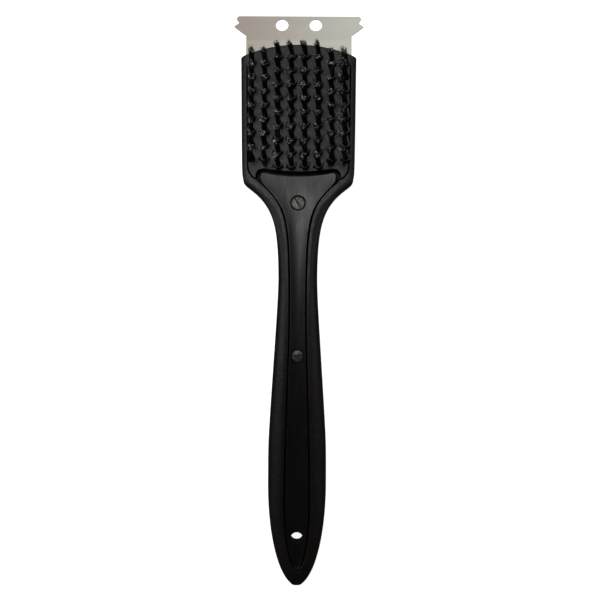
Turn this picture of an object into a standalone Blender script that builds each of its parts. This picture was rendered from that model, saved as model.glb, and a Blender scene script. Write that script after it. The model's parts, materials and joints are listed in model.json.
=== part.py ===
"""Grill cleaning brush: a one-piece black head and handle with a cover panel let into its front,
68 tufts of crimped steel wire in eight columns, and a folded stainless scraper at the head's end.

The moulding is drawn along a spine: v runs from the head's end to the tail, x runs across and h
rises from the front face, on which the tufts stand. The spine is straight under the head, bends
through the neck and is straight again in the grip. The whole brush then lies on its back, on the
scraper's edge and the grip's underside.
"""

import math

import bmesh
import bpy
from mathutils import Vector

# ---------------------------------------------------------------- driving dimensions, in metres

CLEARANCE = 0.0003
CUTTER_REACH = 0.004

# Overall
BODY_LENGTH = 0.3421
HEAD_LENGTH = 0.0872
HEAD_WIDTH = 0.0716
HEAD_TAPER = 0.0028
NECK_WIDTH = 0.0228
GRIP_WIDTH = 0.0363
HEAD_THICKNESS = 0.0120
NECK_THICKNESS = 0.0130
GRIP_THICKNESS = 0.0175
TAIL_THICKNESS = 0.0105

# Spine
BEND_START = HEAD_LENGTH + 0.0018
BEND_LENGTH = 0.130
HANDLE_BEND = math.radians(18.5)

# Head and handle moulding
HEAD_BASE_WIDTH = HEAD_WIDTH - HEAD_TAPER
HEAD_END_ARCH = 0.0080
HEAD_CORNER_RADIUS = 0.0028
ARCH_FADE_LENGTH = 0.025
SHOULDER_ROUNDING = 0.0020
SHOULDER_RUN = 0.0131
NECK_AT = HEAD_LENGTH + 0.0628
TAIL_START = BODY_LENGTH - 0.0661
SWELL_END = TAIL_START - 0.0250
SWELL_ROUNDING = 0.010
GRIP_AT = TAIL_START - 0.0130
TAIL_THIN_AT = BODY_LENGTH - 0.0291
TAIL_ROUNDING = 0.0120
HEAD_FRONT_EDGE = 0.0012
HEAD_BACK_EDGE = 0.0012
END_EDGE = 0.0012
FRONT_STRIP = 0.0019
GRIP_BACK_FLAT = 0.45
RIDGE_ANGLE = math.radians(24.0)
RIDGE_START = HEAD_LENGTH - 0.0040
RIDGE_END = HEAD_LENGTH + 0.0140

# Cover panel and the recess that takes it
PANEL_TOP_AT = HEAD_LENGTH - 0.0059
PANEL_TOP_WIDTH = 0.0472
PANEL_TOP_SAG = 0.0025
PANEL_CORNER_RADIUS = 0.0030
PANEL_SHOULDER_AT = HEAD_LENGTH + 0.0008
PANEL_SHOULDER_RUN = 0.0126
PANEL_NECK_WIDTH = 0.0090
PANEL_SWELL_START = NECK_AT + 0.0250
PANEL_SWELL_END = TAIL_START - 0.0070
PANEL_GRIP_WIDTH = 0.0148
PANEL_END_AT = BODY_LENGTH - 0.0121
PANEL_TAIL_START = PANEL_END_AT - 0.0440
PANEL_THICKNESS = 0.0025
PANEL_DISH = 0.0007
PANEL_SIDE_GAP = 0.0009
PANEL_TOP_GAP = 0.0024
TROUGH_LEDGE = 0.0012
TROUGH_TOP_AT = HEAD_LENGTH + 0.0068
TROUGH_FLOOR = 0.0030

# Panel screws, each in a boss that stands on the trough's floor
UPPER_SCREW_AT = HEAD_LENGTH + 0.0134
LOWER_SCREW_AT = NECK_AT + 0.0441
UPPER_SCREW_HEAD = 0.0086
LOWER_SCREW_HEAD = 0.0076
PANEL_SCREW_HEAD_HEIGHT = 0.0012
PANEL_SCREW_SINK = 0.0003
PANEL_SCREW_SHANK = 0.0030
PANEL_SCREW_LENGTH = 0.0075
SLOT_WIDTH = 0.0010
SLOT_DEPTH = 0.0006
BOSS_WALL = 0.0013

# Hanging hole, in the solid stretch behind the trough
HANG_HOLE_AT = BODY_LENGTH - 0.0324
HANG_HOLE = 0.0076
HANG_HOLE_WALL = 0.0129
TROUGH_END_AT = HANG_HOLE_AT - HANG_HOLE / 2 - HANG_HOLE_WALL

# Tufts
COLUMNS = 8
MIDDLE_COLUMN_TUFTS = 9
OUTER_COLUMN_TUFTS = 8
FIELD_MARGIN = 0.0057
FIRST_TUFT_AT = 0.0079
LAST_TUFT_AT = PANEL_TOP_AT - 0.0038
TUFT_PITCH_ACROSS = (HEAD_BASE_WIDTH - 2 * FIELD_MARGIN) / (COLUMNS - 1)
TUFT_PITCH_ALONG = (LAST_TUFT_AT - FIRST_TUFT_AT) / (MIDDLE_COLUMN_TUFTS - 1)
TUFT_ROOT = 0.0036
TUFT_TIP = 0.0050
TUFT_HEIGHT = 0.0250
TUFT_HOLE_DEPTH = 0.0075
ANCHOR_WIDTH = 0.0010
ANCHOR_HEIGHT = 0.0012
TUFT_SIDES = 8

# Scraper. Each reach is how far a point of the blade's side stands out from the shank's side.
SHEET = 0.0010
POCKET_WALL = 0.0012
SCRAPER_NECK_WIDTH = HEAD_BASE_WIDTH - 2 * POCKET_WALL
SCRAPER_SHANK = 0.0240
SCRAPER_FOLD_AT = 0.0067
SCRAPER_FOLD = math.radians(5.0)
FOLD_RADIUS = 0.0020
BLADE_LENGTH = 0.0165
EDGE_REACH = 0.0049
CORNER_TOOTH_REACH = 0.0064
CORNER_TOOTH_RISE = 0.0149
NOTCH_REACH = 0.0045
NOTCH_RISE = 0.0119
SIDE_TOOTH_REACH = 0.0078
SIDE_TOOTH_RISE = 0.0093
TOOTH_FOOT_RISE = 0.0032
BLADE_HOLE = 0.0080
BLADE_HOLE_SPACING = 0.0213
BLADE_HOLE_RISE = 0.0105

# Scraper screws, from the back of the head, between the tuft columns
SCRAPER_SCREW_HEAD = 0.0062
SCRAPER_SCREW_HEAD_HEIGHT = 0.0018
SCRAPER_SCREW_SHANK = 0.0022
SCRAPER_SCREW_LENGTH = 0.0070

ROUND_SIDES = 24
SMALL_ROUND_SIDES = 16
TAIL_STEPS = 20
PANEL_TAIL_STEPS = 9

# ---------------------------------------------------------------- collections and materials


def clear_scene():
    for old in list(bpy.data.objects):
        bpy.data.objects.remove(old, do_unlink=True)


def new_collection(name):
    collection = bpy.data.collections.new(name)
    bpy.context.scene.collection.children.link(collection)
    return collection


def new_material(name, colour, roughness, metallic):
    material = bpy.data.materials.new(name)
    material.use_nodes = True
    shader = material.node_tree.nodes["Principled BSDF"]
    shader.inputs["Base Color"].default_value = (*colour, 1.0)
    shader.inputs["Roughness"].default_value = roughness
    shader.inputs["Metallic"].default_value = metallic
    return material


clear_scene()
BRUSH = new_collection("grill_cleaning_brush")
CUTTERS = new_collection("cutters")

MOULDING_BLACK = new_material("moulding_black", (0.018, 0.018, 0.018), 0.5, 0.0)
PANEL_BLACK = new_material("panel_black", (0.024, 0.024, 0.024), 0.45, 0.0)
BRISTLE_STEEL = new_material("bristle_steel", (0.06, 0.06, 0.06), 0.4, 1.0)
STAINLESS = new_material("stainless_sheet", (0.62, 0.60, 0.56), 0.35, 1.0)
SCREW_STEEL = new_material("screw_steel", (0.10, 0.10, 0.09), 0.45, 1.0)

# The empty that lays the finished brush on its back.
REST = bpy.data.objects.new("rest_frame", None)
BRUSH.objects.link(REST)

# ---------------------------------------------------------------- spine and outlines


def spine(v):
    """(y, z, fall) of the front face's centre line at v, with the head level."""
    bend_radius = BEND_LENGTH / HANDLE_BEND
    straight = min(v, BEND_START)
    turned = min(max(v - BEND_START, 0.0), BEND_LENGTH)
    tail = max(v - BEND_START - BEND_LENGTH, 0.0)
    fall = turned / bend_radius
    y = -straight - bend_radius * math.sin(fall) - tail * math.cos(fall)
    z = -bend_radius * (1 - math.cos(fall)) - tail * math.sin(fall)
    return y, z, fall


def at(x, v, h):
    """The point at x across, v along the spine and h above the front face."""
    y, z, fall = spine(v)
    return Vector((x, y - h * math.sin(fall), z + h * math.cos(fall)))


def eased(v, start, end, first, last):
    """A value that turns from first to last between start and end, level at both."""
    share = min(max((v - start) / (end - start), 0.0), 1.0)
    return first + (last - first) * (1 - math.cos(math.pi * share)) / 2


def straight_blend(v, start, end, first, last):
    share = min(max((v - start) / (end - start), 0.0), 1.0)
    return first + (last - first) * share


def ellipse_end(v, start, end):
    """1 up to start, then a quarter ellipse down to 0 at end."""
    share = min(max((v - start) / (end - start), 0.0), 1.0)
    return math.sqrt(1 - share * share)


def ramp(distance, rounding):
    """0 before the start and distance after it, with the corner between them rounded."""
    return (distance + math.hypot(distance, rounding)) / 2


def soft_step(v, start, end, rounding):
    """A straight rise from 0 at start to 1 at end, with both of its corners rounded."""
    return (ramp(v - start, rounding) - ramp(v - end, rounding)) / (end - start)


def shoulder(v, start, run, rounding):
    """1 up to start, then a fall towards 0 that leaves at a slant and hollows out."""
    return math.exp(-ramp(v - start, rounding) / run)


def round_start(v, radius):
    """1 from v = radius on, and a quarter circle's fall to 0 at v = 0."""
    share = min(max(v / radius, 0.0), 1.0)
    return math.sqrt(1 - (1 - share) ** 2)


def body_half_width(v):
    head = straight_blend(v, 0.0, HEAD_LENGTH, HEAD_WIDTH, HEAD_BASE_WIDTH)
    slant = shoulder(v, HEAD_LENGTH, SHOULDER_RUN, SHOULDER_ROUNDING)
    swell = soft_step(v, NECK_AT, SWELL_END, SWELL_ROUNDING)
    width = NECK_WIDTH + (head - NECK_WIDTH) * slant + (GRIP_WIDTH - NECK_WIDTH) * swell
    corner = HEAD_CORNER_RADIUS * (1 - round_start(v, HEAD_CORNER_RADIUS))
    return width / 2 * ellipse_end(v, TAIL_START, BODY_LENGTH) - corner


def panel_half_width(v):
    slant = shoulder(v, PANEL_SHOULDER_AT, PANEL_SHOULDER_RUN, SHOULDER_ROUNDING)
    swell = soft_step(v, PANEL_SWELL_START, PANEL_SWELL_END, SWELL_ROUNDING)
    width = (
        PANEL_NECK_WIDTH
        + (PANEL_TOP_WIDTH - PANEL_NECK_WIDTH) * slant
        + (PANEL_GRIP_WIDTH - PANEL_NECK_WIDTH) * swell
    )
    return width / 2 * ellipse_end(v, PANEL_TAIL_START, PANEL_END_AT)


def body_thickness(v):
    if v < NECK_AT:
        return eased(v, HEAD_LENGTH, NECK_AT, HEAD_THICKNESS, NECK_THICKNESS)
    if v < GRIP_AT:
        return eased(v, NECK_AT, GRIP_AT, NECK_THICKNESS, GRIP_THICKNESS)
    return eased(v, GRIP_AT, TAIL_THIN_AT, GRIP_THICKNESS, TAIL_THICKNESS)


def front_half_width(v):
    """Where the front face turns into the rounded side."""
    on_head = body_half_width(v) - HEAD_FRONT_EDGE
    beside_panel = panel_half_width(max(v, PANEL_TOP_AT)) + PANEL_SIDE_GAP + FRONT_STRIP
    blended = eased(v, HEAD_LENGTH, HEAD_LENGTH + 0.022, on_head, beside_panel)
    return min(blended, body_half_width(v) * 0.86)


def end_arch(x, v):
    """How far the head's end, an arc across, draws this point back along the spine."""
    fade = max(1 - v / ARCH_FADE_LENGTH, 0.0) ** 2
    return HEAD_END_ARCH * (2 * x / HEAD_WIDTH) ** 2 * fade


def spaced(start, end, count):
    return [start + (end - start) * i / count for i in range(count + 1)]


def tail_spaced(start, end, count):
    """Closer and closer stations towards end, as an ellipse's end needs, stopping short of it."""
    quarter = math.pi / 2
    return [start + (end - start) * math.sin(quarter * i / (count + 1)) for i in range(1, count + 1)]


# ---------------------------------------------------------------- making meshes


def link(name, mesh, material, collection, parent):
    made = bpy.data.objects.new(name, mesh)
    collection.objects.link(made)
    made.parent = parent
    if material is None:
        made.hide_render = True
        made.display_type = "WIRE"
    else:
        mesh.materials.append(material)
        mesh.shade_smooth()
        mesh.set_sharp_from_angle(angle=math.radians(30))
    return made


def mesh_object(name, shape, material=None, closed=True):
    """Turns a bmesh into an object: a part where it has a material, a cutter where it has none.
    An open sheet keeps the side that its faces were drawn on."""
    if closed:
        bmesh.ops.recalc_face_normals(shape, faces=shape.faces)
    mesh = bpy.data.meshes.new(name)
    shape.to_mesh(mesh)
    shape.free()
    return link(name, mesh, material, BRUSH if material else CUTTERS, REST)


def loft(name, stations, section, material=None, arch=None):
    """A closed solid through one section at each station. A section is (upper, lower), two rows
    of (x, h) of the same length from the left side to the right side."""
    shape = bmesh.new()
    rings = []
    for v in stations:
        rows = []
        for row in section(v):
            placed = [at(x, v + (arch(x, v) if arch else 0.0), h) for x, h in row]
            rows.append([shape.verts.new(point) for point in placed])
        rings.append(rows)
    for (upper, lower), (next_upper, next_lower) in zip(rings, rings[1:]):
        around = upper + lower[::-1]
        next_around = next_upper + next_lower[::-1]
        for i in range(len(around)):
            j = (i + 1) % len(around)
            shape.faces.new((around[i], around[j], next_around[j], next_around[i]))
    for upper, lower in (rings[0], rings[-1]):
        for i in range(len(upper) - 1):
            shape.faces.new((upper[i], upper[i + 1], lower[i + 1], lower[i]))
    return mesh_object(name, shape, material)


def rounded_row(half, flat_half, drop, level, flat_steps, round_steps, slant=0.0):
    """Half of a section's row, from the centre outwards: flat at level, then a quarter ellipse
    that ends drop lower (or higher, where drop is negative) at half. A slant leaves out the start
    of the ellipse, so that the side falls away from a ridge."""
    row = [(flat_half * i / flat_steps, level) for i in range(flat_steps)]
    for i in range(round_steps + 1):
        turn = slant + (math.pi / 2 - slant) * i / round_steps
        across = (math.sin(turn) - math.sin(slant)) / (1 - math.sin(slant))
        down = 1 - math.cos(turn) / math.cos(slant)
        row.append((flat_half + (half - flat_half) * across, level - drop * down))
    return row


def mirrored(row):
    return [(-x, h) for x, h in row[:0:-1]] + row


def cylinder(shape, v, x, low, high, low_radius, high_radius, sides):
    """Adds a capped cylinder or cone square to the front face at (x, v), from low to high."""
    foot, top = at(x, v, low), at(x, v, high)
    made = bmesh.ops.create_cone(
        shape,
        cap_ends=True,
        segments=sides,
        radius1=low_radius,
        radius2=high_radius,
        depth=high - low,
    )["verts"]
    across = Vector((1, 0, 0))
    up = (top - foot).normalized()
    along = up.cross(across)
    middle = (foot + top) / 2
    for vert in made:
        vert.co = middle + across * vert.co.x + along * vert.co.y + up * vert.co.z


def block(shape, x_range, v_range, h_range):
    """Adds a box between the given limits, square to the front face."""
    corners = []
    for h in h_range:
        for v in v_range:
            for x in x_range:
                corners.append(shape.verts.new(at(x, v, h)))
    a, b, c, d, e, f, g, i = corners
    for face in ((a, b, d, c), (e, f, i, g), (a, b, f, e), (c, d, i, g), (a, c, g, e), (b, d, i, f)):
        shape.faces.new(face)


def boolean(piece, other, operation="DIFFERENCE"):
    modifier = piece.modifiers.new(other.name, "BOOLEAN")
    modifier.operation = operation
    modifier.solver = "EXACT"
    modifier.object = other


# ---------------------------------------------------------------- head and handle moulding


def body_section(v):
    half = body_half_width(v)
    flat = front_half_width(v)
    thickness = body_thickness(v)
    on_head = eased(v, HEAD_LENGTH, NECK_AT, 1.0, 0.0)
    front_drop = on_head * HEAD_FRONT_EDGE + (1 - on_head) * thickness * 0.5
    back_rise = on_head * HEAD_BACK_EDGE + (1 - on_head) * thickness * 0.46
    back_flat = on_head * (half - HEAD_BACK_EDGE) + (1 - on_head) * half * GRIP_BACK_FLAT
    pinch = END_EDGE * (1 - round_start(v, END_EDGE))
    closing = thickness / 2 * (1 - ellipse_end(v, BODY_LENGTH - TAIL_ROUNDING, BODY_LENGTH + 0.0004))
    top = -pinch - closing
    bottom = -thickness + pinch + closing
    scale = (top - bottom) / thickness
    slant = eased(v, RIDGE_START, RIDGE_END, 0.0, RIDGE_ANGLE)
    upper = rounded_row(half, flat, front_drop * scale, top, 4, 4, slant)
    lower = rounded_row(half, back_flat, -back_rise * scale, bottom, 4, 4)
    return mirrored(upper), mirrored(lower)


def body_stations():
    head_end = [0.0, END_EDGE * 0.35, END_EDGE, HEAD_CORNER_RADIUS]
    head = spaced(HEAD_CORNER_RADIUS, HEAD_LENGTH - 0.006, 4)[1:]
    corner = spaced(HEAD_LENGTH - 0.006, HEAD_LENGTH + 0.024, 12)[1:]
    neck = spaced(HEAD_LENGTH + 0.024, TAIL_START, 18)[1:]
    return head_end + head + corner + neck + tail_spaced(TAIL_START, BODY_LENGTH, TAIL_STEPS)


def make_body():
    return loft("handle_body", body_stations(), body_section, MOULDING_BLACK, end_arch)


# ---------------------------------------------------------------- recess, trough and panel


def top_edge_half_width(v, top_at, gap):
    """The panel's half width, or the recess's where gap is its clearance, with round top corners."""
    radius = PANEL_CORNER_RADIUS + gap
    corner = radius * (1 - round_start(v - top_at, radius))
    return panel_half_width(max(v, PANEL_TOP_AT)) + gap - corner


def top_edge_sag(top_at):
    """The top edge sags between its corners."""

    def sag(x, v):
        fade = max(1 - (v - top_at) / ARCH_FADE_LENGTH, 0.0)
        return PANEL_TOP_SAG * (1 - (2 * x / PANEL_TOP_WIDTH) ** 2) * fade

    return sag


def panel_stations(top_at, radius):
    top = [top_at + radius * share for share in (0.0, 0.06, 0.3, 1.0)]
    shoulders = spaced(top_at + radius, PANEL_TOP_AT + 0.045, 12)[1:]
    neck = spaced(PANEL_TOP_AT + 0.045, PANEL_TAIL_START, 14)[1:]
    return top + shoulders + neck + tail_spaced(PANEL_TAIL_START, PANEL_END_AT, PANEL_TAIL_STEPS)


def panel_section(v):
    half = top_edge_half_width(v, PANEL_TOP_AT, 0.0)
    upper = []
    for i in range(5):
        share = i / 4
        upper.append((half * share, -PANEL_DISH * (1 - share * share)))
    lower = [(half * i / 4, -PANEL_THICKNESS) for i in range(5)]
    return mirrored(upper), mirrored(lower)


def recess_section(v):
    half = top_edge_half_width(v, PANEL_TOP_AT - PANEL_TOP_GAP, PANEL_SIDE_GAP)
    floor = -PANEL_THICKNESS - CLEARANCE
    row = [half * i / 4 for i in range(5)]
    return mirrored([(x, CUTTER_REACH) for x in row]), mirrored([(x, floor) for x in row])


def trough_section(v):
    half = panel_half_width(v) - TROUGH_LEDGE
    over = -PANEL_THICKNESS + CLEARANCE
    floor = -body_thickness(v) + TROUGH_FLOOR
    return [(-half, over), (0.0, over), (half, over)], [(-half, floor), (0.0, floor), (half, floor)]


def make_panel():
    stations = panel_stations(PANEL_TOP_AT, PANEL_CORNER_RADIUS)
    return loft("grip_panel", stations, panel_section, PANEL_BLACK, top_edge_sag(PANEL_TOP_AT))


def cut_recess(body):
    recess_top = PANEL_TOP_AT - PANEL_TOP_GAP
    stations = panel_stations(recess_top, PANEL_CORNER_RADIUS + PANEL_SIDE_GAP)
    past_end = PANEL_END_AT + PANEL_SIDE_GAP
    stations.append(past_end)
    boolean(body, loft("recess_cutter", stations, recess_section, arch=top_edge_sag(recess_top)))
    stations = spaced(TROUGH_TOP_AT, TROUGH_END_AT, 24)
    boolean(body, loft("trough_cutter", stations, trough_section))


def panel_screw_sizes():
    return {
        "upper": (UPPER_SCREW_AT, UPPER_SCREW_HEAD),
        "lower": (LOWER_SCREW_AT, LOWER_SCREW_HEAD),
    }


def make_panel_screws(body, panel):
    """Pan-head screws that sit in counterbores in the panel and bite into bosses in the trough."""
    hole = PANEL_SCREW_SHANK / 2 + CLEARANCE
    head_top = -PANEL_DISH - PANEL_SCREW_SINK
    head_foot = head_top - PANEL_SCREW_HEAD_HEIGHT
    shank_foot = head_foot - PANEL_SCREW_LENGTH
    for place, (v, head) in panel_screw_sizes().items():
        boss = bmesh.new()
        floor = -body_thickness(v) + TROUGH_FLOOR / 2
        cylinder(boss, v, 0.0, floor, -PANEL_THICKNESS - CLEARANCE, hole + BOSS_WALL, hole + BOSS_WALL,
                 ROUND_SIDES)
        boolean(body, mesh_object(f"{place}_boss", boss), "UNION")
        bore = bmesh.new()
        cylinder(bore, v, 0.0, shank_foot - CLEARANCE, CUTTER_REACH, hole, hole, SMALL_ROUND_SIDES)
        bore_cutter = mesh_object(f"{place}_screw_bore", bore)
        boolean(body, bore_cutter)
        boolean(panel, bore_cutter)
        seat = bmesh.new()
        seat_radius = head / 2 + CLEARANCE
        cylinder(seat, v, 0.0, head_foot - CLEARANCE, CUTTER_REACH, seat_radius, seat_radius, ROUND_SIDES)
        boolean(panel, mesh_object(f"{place}_screw_seat", seat))
        screw = bmesh.new()
        cylinder(screw, v, 0.0, head_foot, head_top, head / 2, head / 2, ROUND_SIDES)
        screw = mesh_object(f"panel_screw_{place}", screw, SCREW_STEEL)
        shank = bmesh.new()
        radius = PANEL_SCREW_SHANK / 2
        cylinder(shank, v, 0.0, shank_foot, head_foot + PANEL_SCREW_HEAD_HEIGHT / 2, radius, radius,
                 SMALL_ROUND_SIDES)
        boolean(screw, mesh_object(f"{place}_screw_shank", shank), "UNION")
        slot = bmesh.new()
        half_slot = SLOT_WIDTH / 2
        block(slot, (-head, head), (v - half_slot, v + half_slot), (head_top - SLOT_DEPTH, CUTTER_REACH))
        boolean(screw, mesh_object(f"{place}_screw_slot", slot))


def cut_hang_hole(body, panel):
    bore = bmesh.new()
    low = -body_thickness(HANG_HOLE_AT) - CUTTER_REACH
    cylinder(bore, HANG_HOLE_AT, 0.0, low, CUTTER_REACH, HANG_HOLE / 2, HANG_HOLE / 2, ROUND_SIDES)
    cutter = mesh_object("hang_hole_cutter", bore)
    boolean(body, cutter)
    boolean(panel, cutter)


# ---------------------------------------------------------------- tufts


def column_places():
    """(x, [v of each tuft]) of every column, from the left. The two outer columns on each side
    stand half a pitch higher up the head than the middle ones."""
    places = []
    for column in range(COLUMNS):
        x = (column - (COLUMNS - 1) / 2) * TUFT_PITCH_ACROSS
        outer = column < 2 or column >= COLUMNS - 2
        count = OUTER_COLUMN_TUFTS if outer else MIDDLE_COLUMN_TUFTS
        last = LAST_TUFT_AT - (TUFT_PITCH_ALONG / 2 if outer else 0.0)
        places.append((x, [last - TUFT_PITCH_ALONG * i for i in range(count)]))
    return places


def tuft_radius(h):
    """A tuft widens evenly from the bottom of its hole to its tip."""
    share = (h + TUFT_HOLE_DEPTH) / (TUFT_HEIGHT + TUFT_HOLE_DEPTH)
    return (TUFT_ROOT + (TUFT_TIP - TUFT_ROOT) * share) / 2


def make_tufts(body):
    """Each column is one solid: its tufts stand in blind holes, on a strip that ties their roots."""
    holes = bmesh.new()
    channels = bmesh.new()
    hole_radius = tuft_radius(0.0) + CLEARANCE
    root = -TUFT_HOLE_DEPTH + CLEARANCE
    for number, (x, places) in enumerate(column_places(), start=1):
        tufts = bmesh.new()
        for v in places:
            cylinder(holes, v, x, -TUFT_HOLE_DEPTH, CUTTER_REACH, hole_radius, hole_radius, TUFT_SIDES)
            cylinder(tufts, v, x, root, TUFT_HEIGHT, tuft_radius(root), TUFT_TIP / 2, TUFT_SIDES)
        column = mesh_object(f"bristle_column_{number}", tufts, BRISTLE_STEEL)
        strip = bmesh.new()
        half_strip = ANCHOR_WIDTH / 2
        strip_h = (root + CLEARANCE, root + CLEARANCE + ANCHOR_HEIGHT)
        block(strip, (x - half_strip, x + half_strip), (places[-1], places[0]), strip_h)
        boolean(column, mesh_object(f"anchor_strip_{number}", strip), "UNION")
        half_channel = half_strip + CLEARANCE
        channel_h = (strip_h[0] - CLEARANCE, strip_h[1] + CLEARANCE)
        block(channels, (x - half_channel, x + half_channel), (places[-1], places[0]), channel_h)
    boolean(body, mesh_object("tuft_hole_cutters", holes))
    boolean(body, mesh_object("anchor_channel_cutters", channels))


# ---------------------------------------------------------------- scraper


def scraper_outline():
    """The blade's right-hand outline from the fold to its edge: (x, distance past the fold)."""
    side = SCRAPER_NECK_WIDTH / 2
    return [
        (side, TOOTH_FOOT_RISE),
        (side + SIDE_TOOTH_REACH, SIDE_TOOTH_RISE),
        (side + NOTCH_REACH, NOTCH_RISE),
        (side + CORNER_TOOTH_REACH, CORNER_TOOTH_RISE),
        (side + EDGE_REACH, BLADE_LENGTH),
    ]


def scraper_point(x, out):
    """A point on the sheet's upper side. out runs from the fold towards the blade's edge, and is
    negative on the shank, which lies in its pocket on the back of the head."""
    level = -HEAD_THICKNESS + SHEET
    start = Vector((x, SCRAPER_FOLD_AT, level))
    if out <= 0:
        return start + Vector((0, out, 0))
    arc = FOLD_RADIUS * SCRAPER_FOLD
    turned = min(out, arc) / FOLD_RADIUS
    bent = Vector((0, math.sin(turned), math.cos(turned) - 1)) * FOLD_RADIUS
    beyond = Vector((0, math.cos(turned), -math.sin(turned))) * max(out - arc, 0.0)
    return start + bent + beyond


def blade_bore(name, x, out, diameter):
    """A cutter through the sheet, square to it."""
    centre = scraper_point(x, out)
    up = (scraper_point(1.0 + x, out) - centre).cross(scraper_point(x, out + 0.001) - centre).normalized()
    shape = bmesh.new()
    made = bmesh.ops.create_cone(
        shape, cap_ends=True, segments=ROUND_SIDES, radius1=diameter / 2, radius2=diameter / 2, depth=0.01
    )["verts"]
    turn = Vector((0, 0, 1)).rotation_difference(up)
    for vert in made:
        vert.co = centre + turn @ vert.co
    return mesh_object(name, shape)


def scraper_screw_places():
    """(side, x, v), midway between two tuft columns and a quarter pitch from each one's tufts."""
    x = 2 * TUFT_PITCH_ACROSS
    v = FIRST_TUFT_AT + 1.25 * TUFT_PITCH_ALONG
    return (("left", -x, v), ("right", x, v))


def make_scraper(body):
    half_neck = SCRAPER_NECK_WIDTH / 2
    arc = FOLD_RADIUS * SCRAPER_FOLD
    shank_end = -SCRAPER_SHANK - SCRAPER_FOLD_AT
    shape = bmesh.new()
    outline = scraper_outline()
    rows = [[shape.verts.new(scraper_point(side * half_neck, out)) for side in (-1, 1)]
            for out in (shank_end, 0.0, arc / 2, arc)]
    for low, high in zip(rows, rows[1:]):
        shape.faces.new((low[0], low[1], high[1], high[0]))
    right = [shape.verts.new(scraper_point(x, out)) for x, out in outline]
    left = [shape.verts.new(scraper_point(-x, out)) for x, out in outline]
    shape.faces.new([rows[-1][0], rows[-1][1]] + right + left[::-1])
    blade = mesh_object("scraper_blade", shape, STAINLESS, closed=False)
    wall = blade.modifiers.new("sheet", "SOLIDIFY")
    wall.thickness = SHEET
    wall.offset = -1.0
    wall.use_even_offset = True
    for side, x in (("left", -BLADE_HOLE_SPACING / 2), ("right", BLADE_HOLE_SPACING / 2)):
        boolean(blade, blade_bore(f"blade_hole_{side}", x, BLADE_HOLE_RISE, BLADE_HOLE))

    pocket = bmesh.new()
    half_pocket = half_neck + CLEARANCE
    floor = -HEAD_THICKNESS + SHEET + CLEARANCE
    block(pocket, (-half_pocket, half_pocket), (-CUTTER_REACH, SCRAPER_SHANK + CLEARANCE),
          (-HEAD_THICKNESS - CUTTER_REACH, floor))
    boolean(body, mesh_object("scraper_pocket", pocket))
    return blade


def make_scraper_screws(body, blade):
    """Pan heads on the back of the sheet, shanks in blind holes between the tuft columns."""
    back = -HEAD_THICKNESS - CLEARANCE
    head_radius = SCRAPER_SCREW_HEAD / 2
    shank_radius = SCRAPER_SCREW_SHANK / 2
    hole_radius = shank_radius + CLEARANCE
    for side, x, v in scraper_screw_places():
        screw = bmesh.new()
        cylinder(screw, v, x, back - SCRAPER_SCREW_HEAD_HEIGHT, back, head_radius * 0.8, head_radius,
                 ROUND_SIDES)
        screw = mesh_object(f"scraper_screw_{side}", screw, SCREW_STEEL)
        shank = bmesh.new()
        cylinder(shank, v, x, back - SCRAPER_SCREW_HEAD_HEIGHT / 2, back + SCRAPER_SCREW_LENGTH,
                 shank_radius, shank_radius, SMALL_ROUND_SIDES)
        boolean(screw, mesh_object(f"scraper_screw_shank_{side}", shank), "UNION")
        bore = bmesh.new()
        cylinder(bore, v, x, back - CUTTER_REACH, back + SCRAPER_SCREW_LENGTH + CLEARANCE, hole_radius,
                 hole_radius, SMALL_ROUND_SIDES)
        cutter = mesh_object(f"scraper_screw_bore_{side}", bore)
        boolean(body, cutter)
        boolean(blade, cutter)


# ---------------------------------------------------------------- assembly


def lay_on_back(body, blade):
    """Turns and shifts the brush so that the blade's edge and the grip's underside both touch
    z = 0, with the origin midway between the two ends."""
    bpy.context.view_layer.update()
    graph = bpy.context.evaluated_depsgraph_get()
    places = {}
    for piece in (body, blade):
        mesh = piece.evaluated_get(graph).to_mesh()
        places[piece] = [(vert.co.y, vert.co.z) for vert in mesh.vertices]
    edge_y, edge_z = min(places[blade], key=lambda place: place[1])
    grip = [(y, z) for y, z in places[body] if y < -BEND_START]
    turn = min(math.atan2(z - edge_z, edge_y - y) for y, z in grip)
    every = [place for piece in places.values() for place in piece]
    turned = [
        (y * math.cos(turn) - z * math.sin(turn), y * math.sin(turn) + z * math.cos(turn))
        for y, z in every
    ]
    ends = [y for y, _ in turned]
    REST.rotation_euler = (turn, 0.0, 0.0)
    REST.location = (0.0, -(min(ends) + max(ends)) / 2, -min(z for _, z in turned))


def main():
    body = make_body()
    panel = make_panel()
    cut_recess(body)
    make_panel_screws(body, panel)
    cut_hang_hole(body, panel)
    make_tufts(body)
    blade = make_scraper(body)
    make_scraper_screws(body, blade)
    lay_on_back(body, blade)


main()
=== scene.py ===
# %% [markdown]
# # A grill cleaning brush
# The brush is a black moulding with a cover panel let into its front, eight columns of crimped
# steel wire tufts, and a folded stainless scraper. The solid model of it is loaded first, and every
# piece made here takes the place of one of its nodes, in the same frame and to the same size.

import json
import math
import random

import bmesh
import bpy
from mathutils import Matrix, Vector


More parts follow.
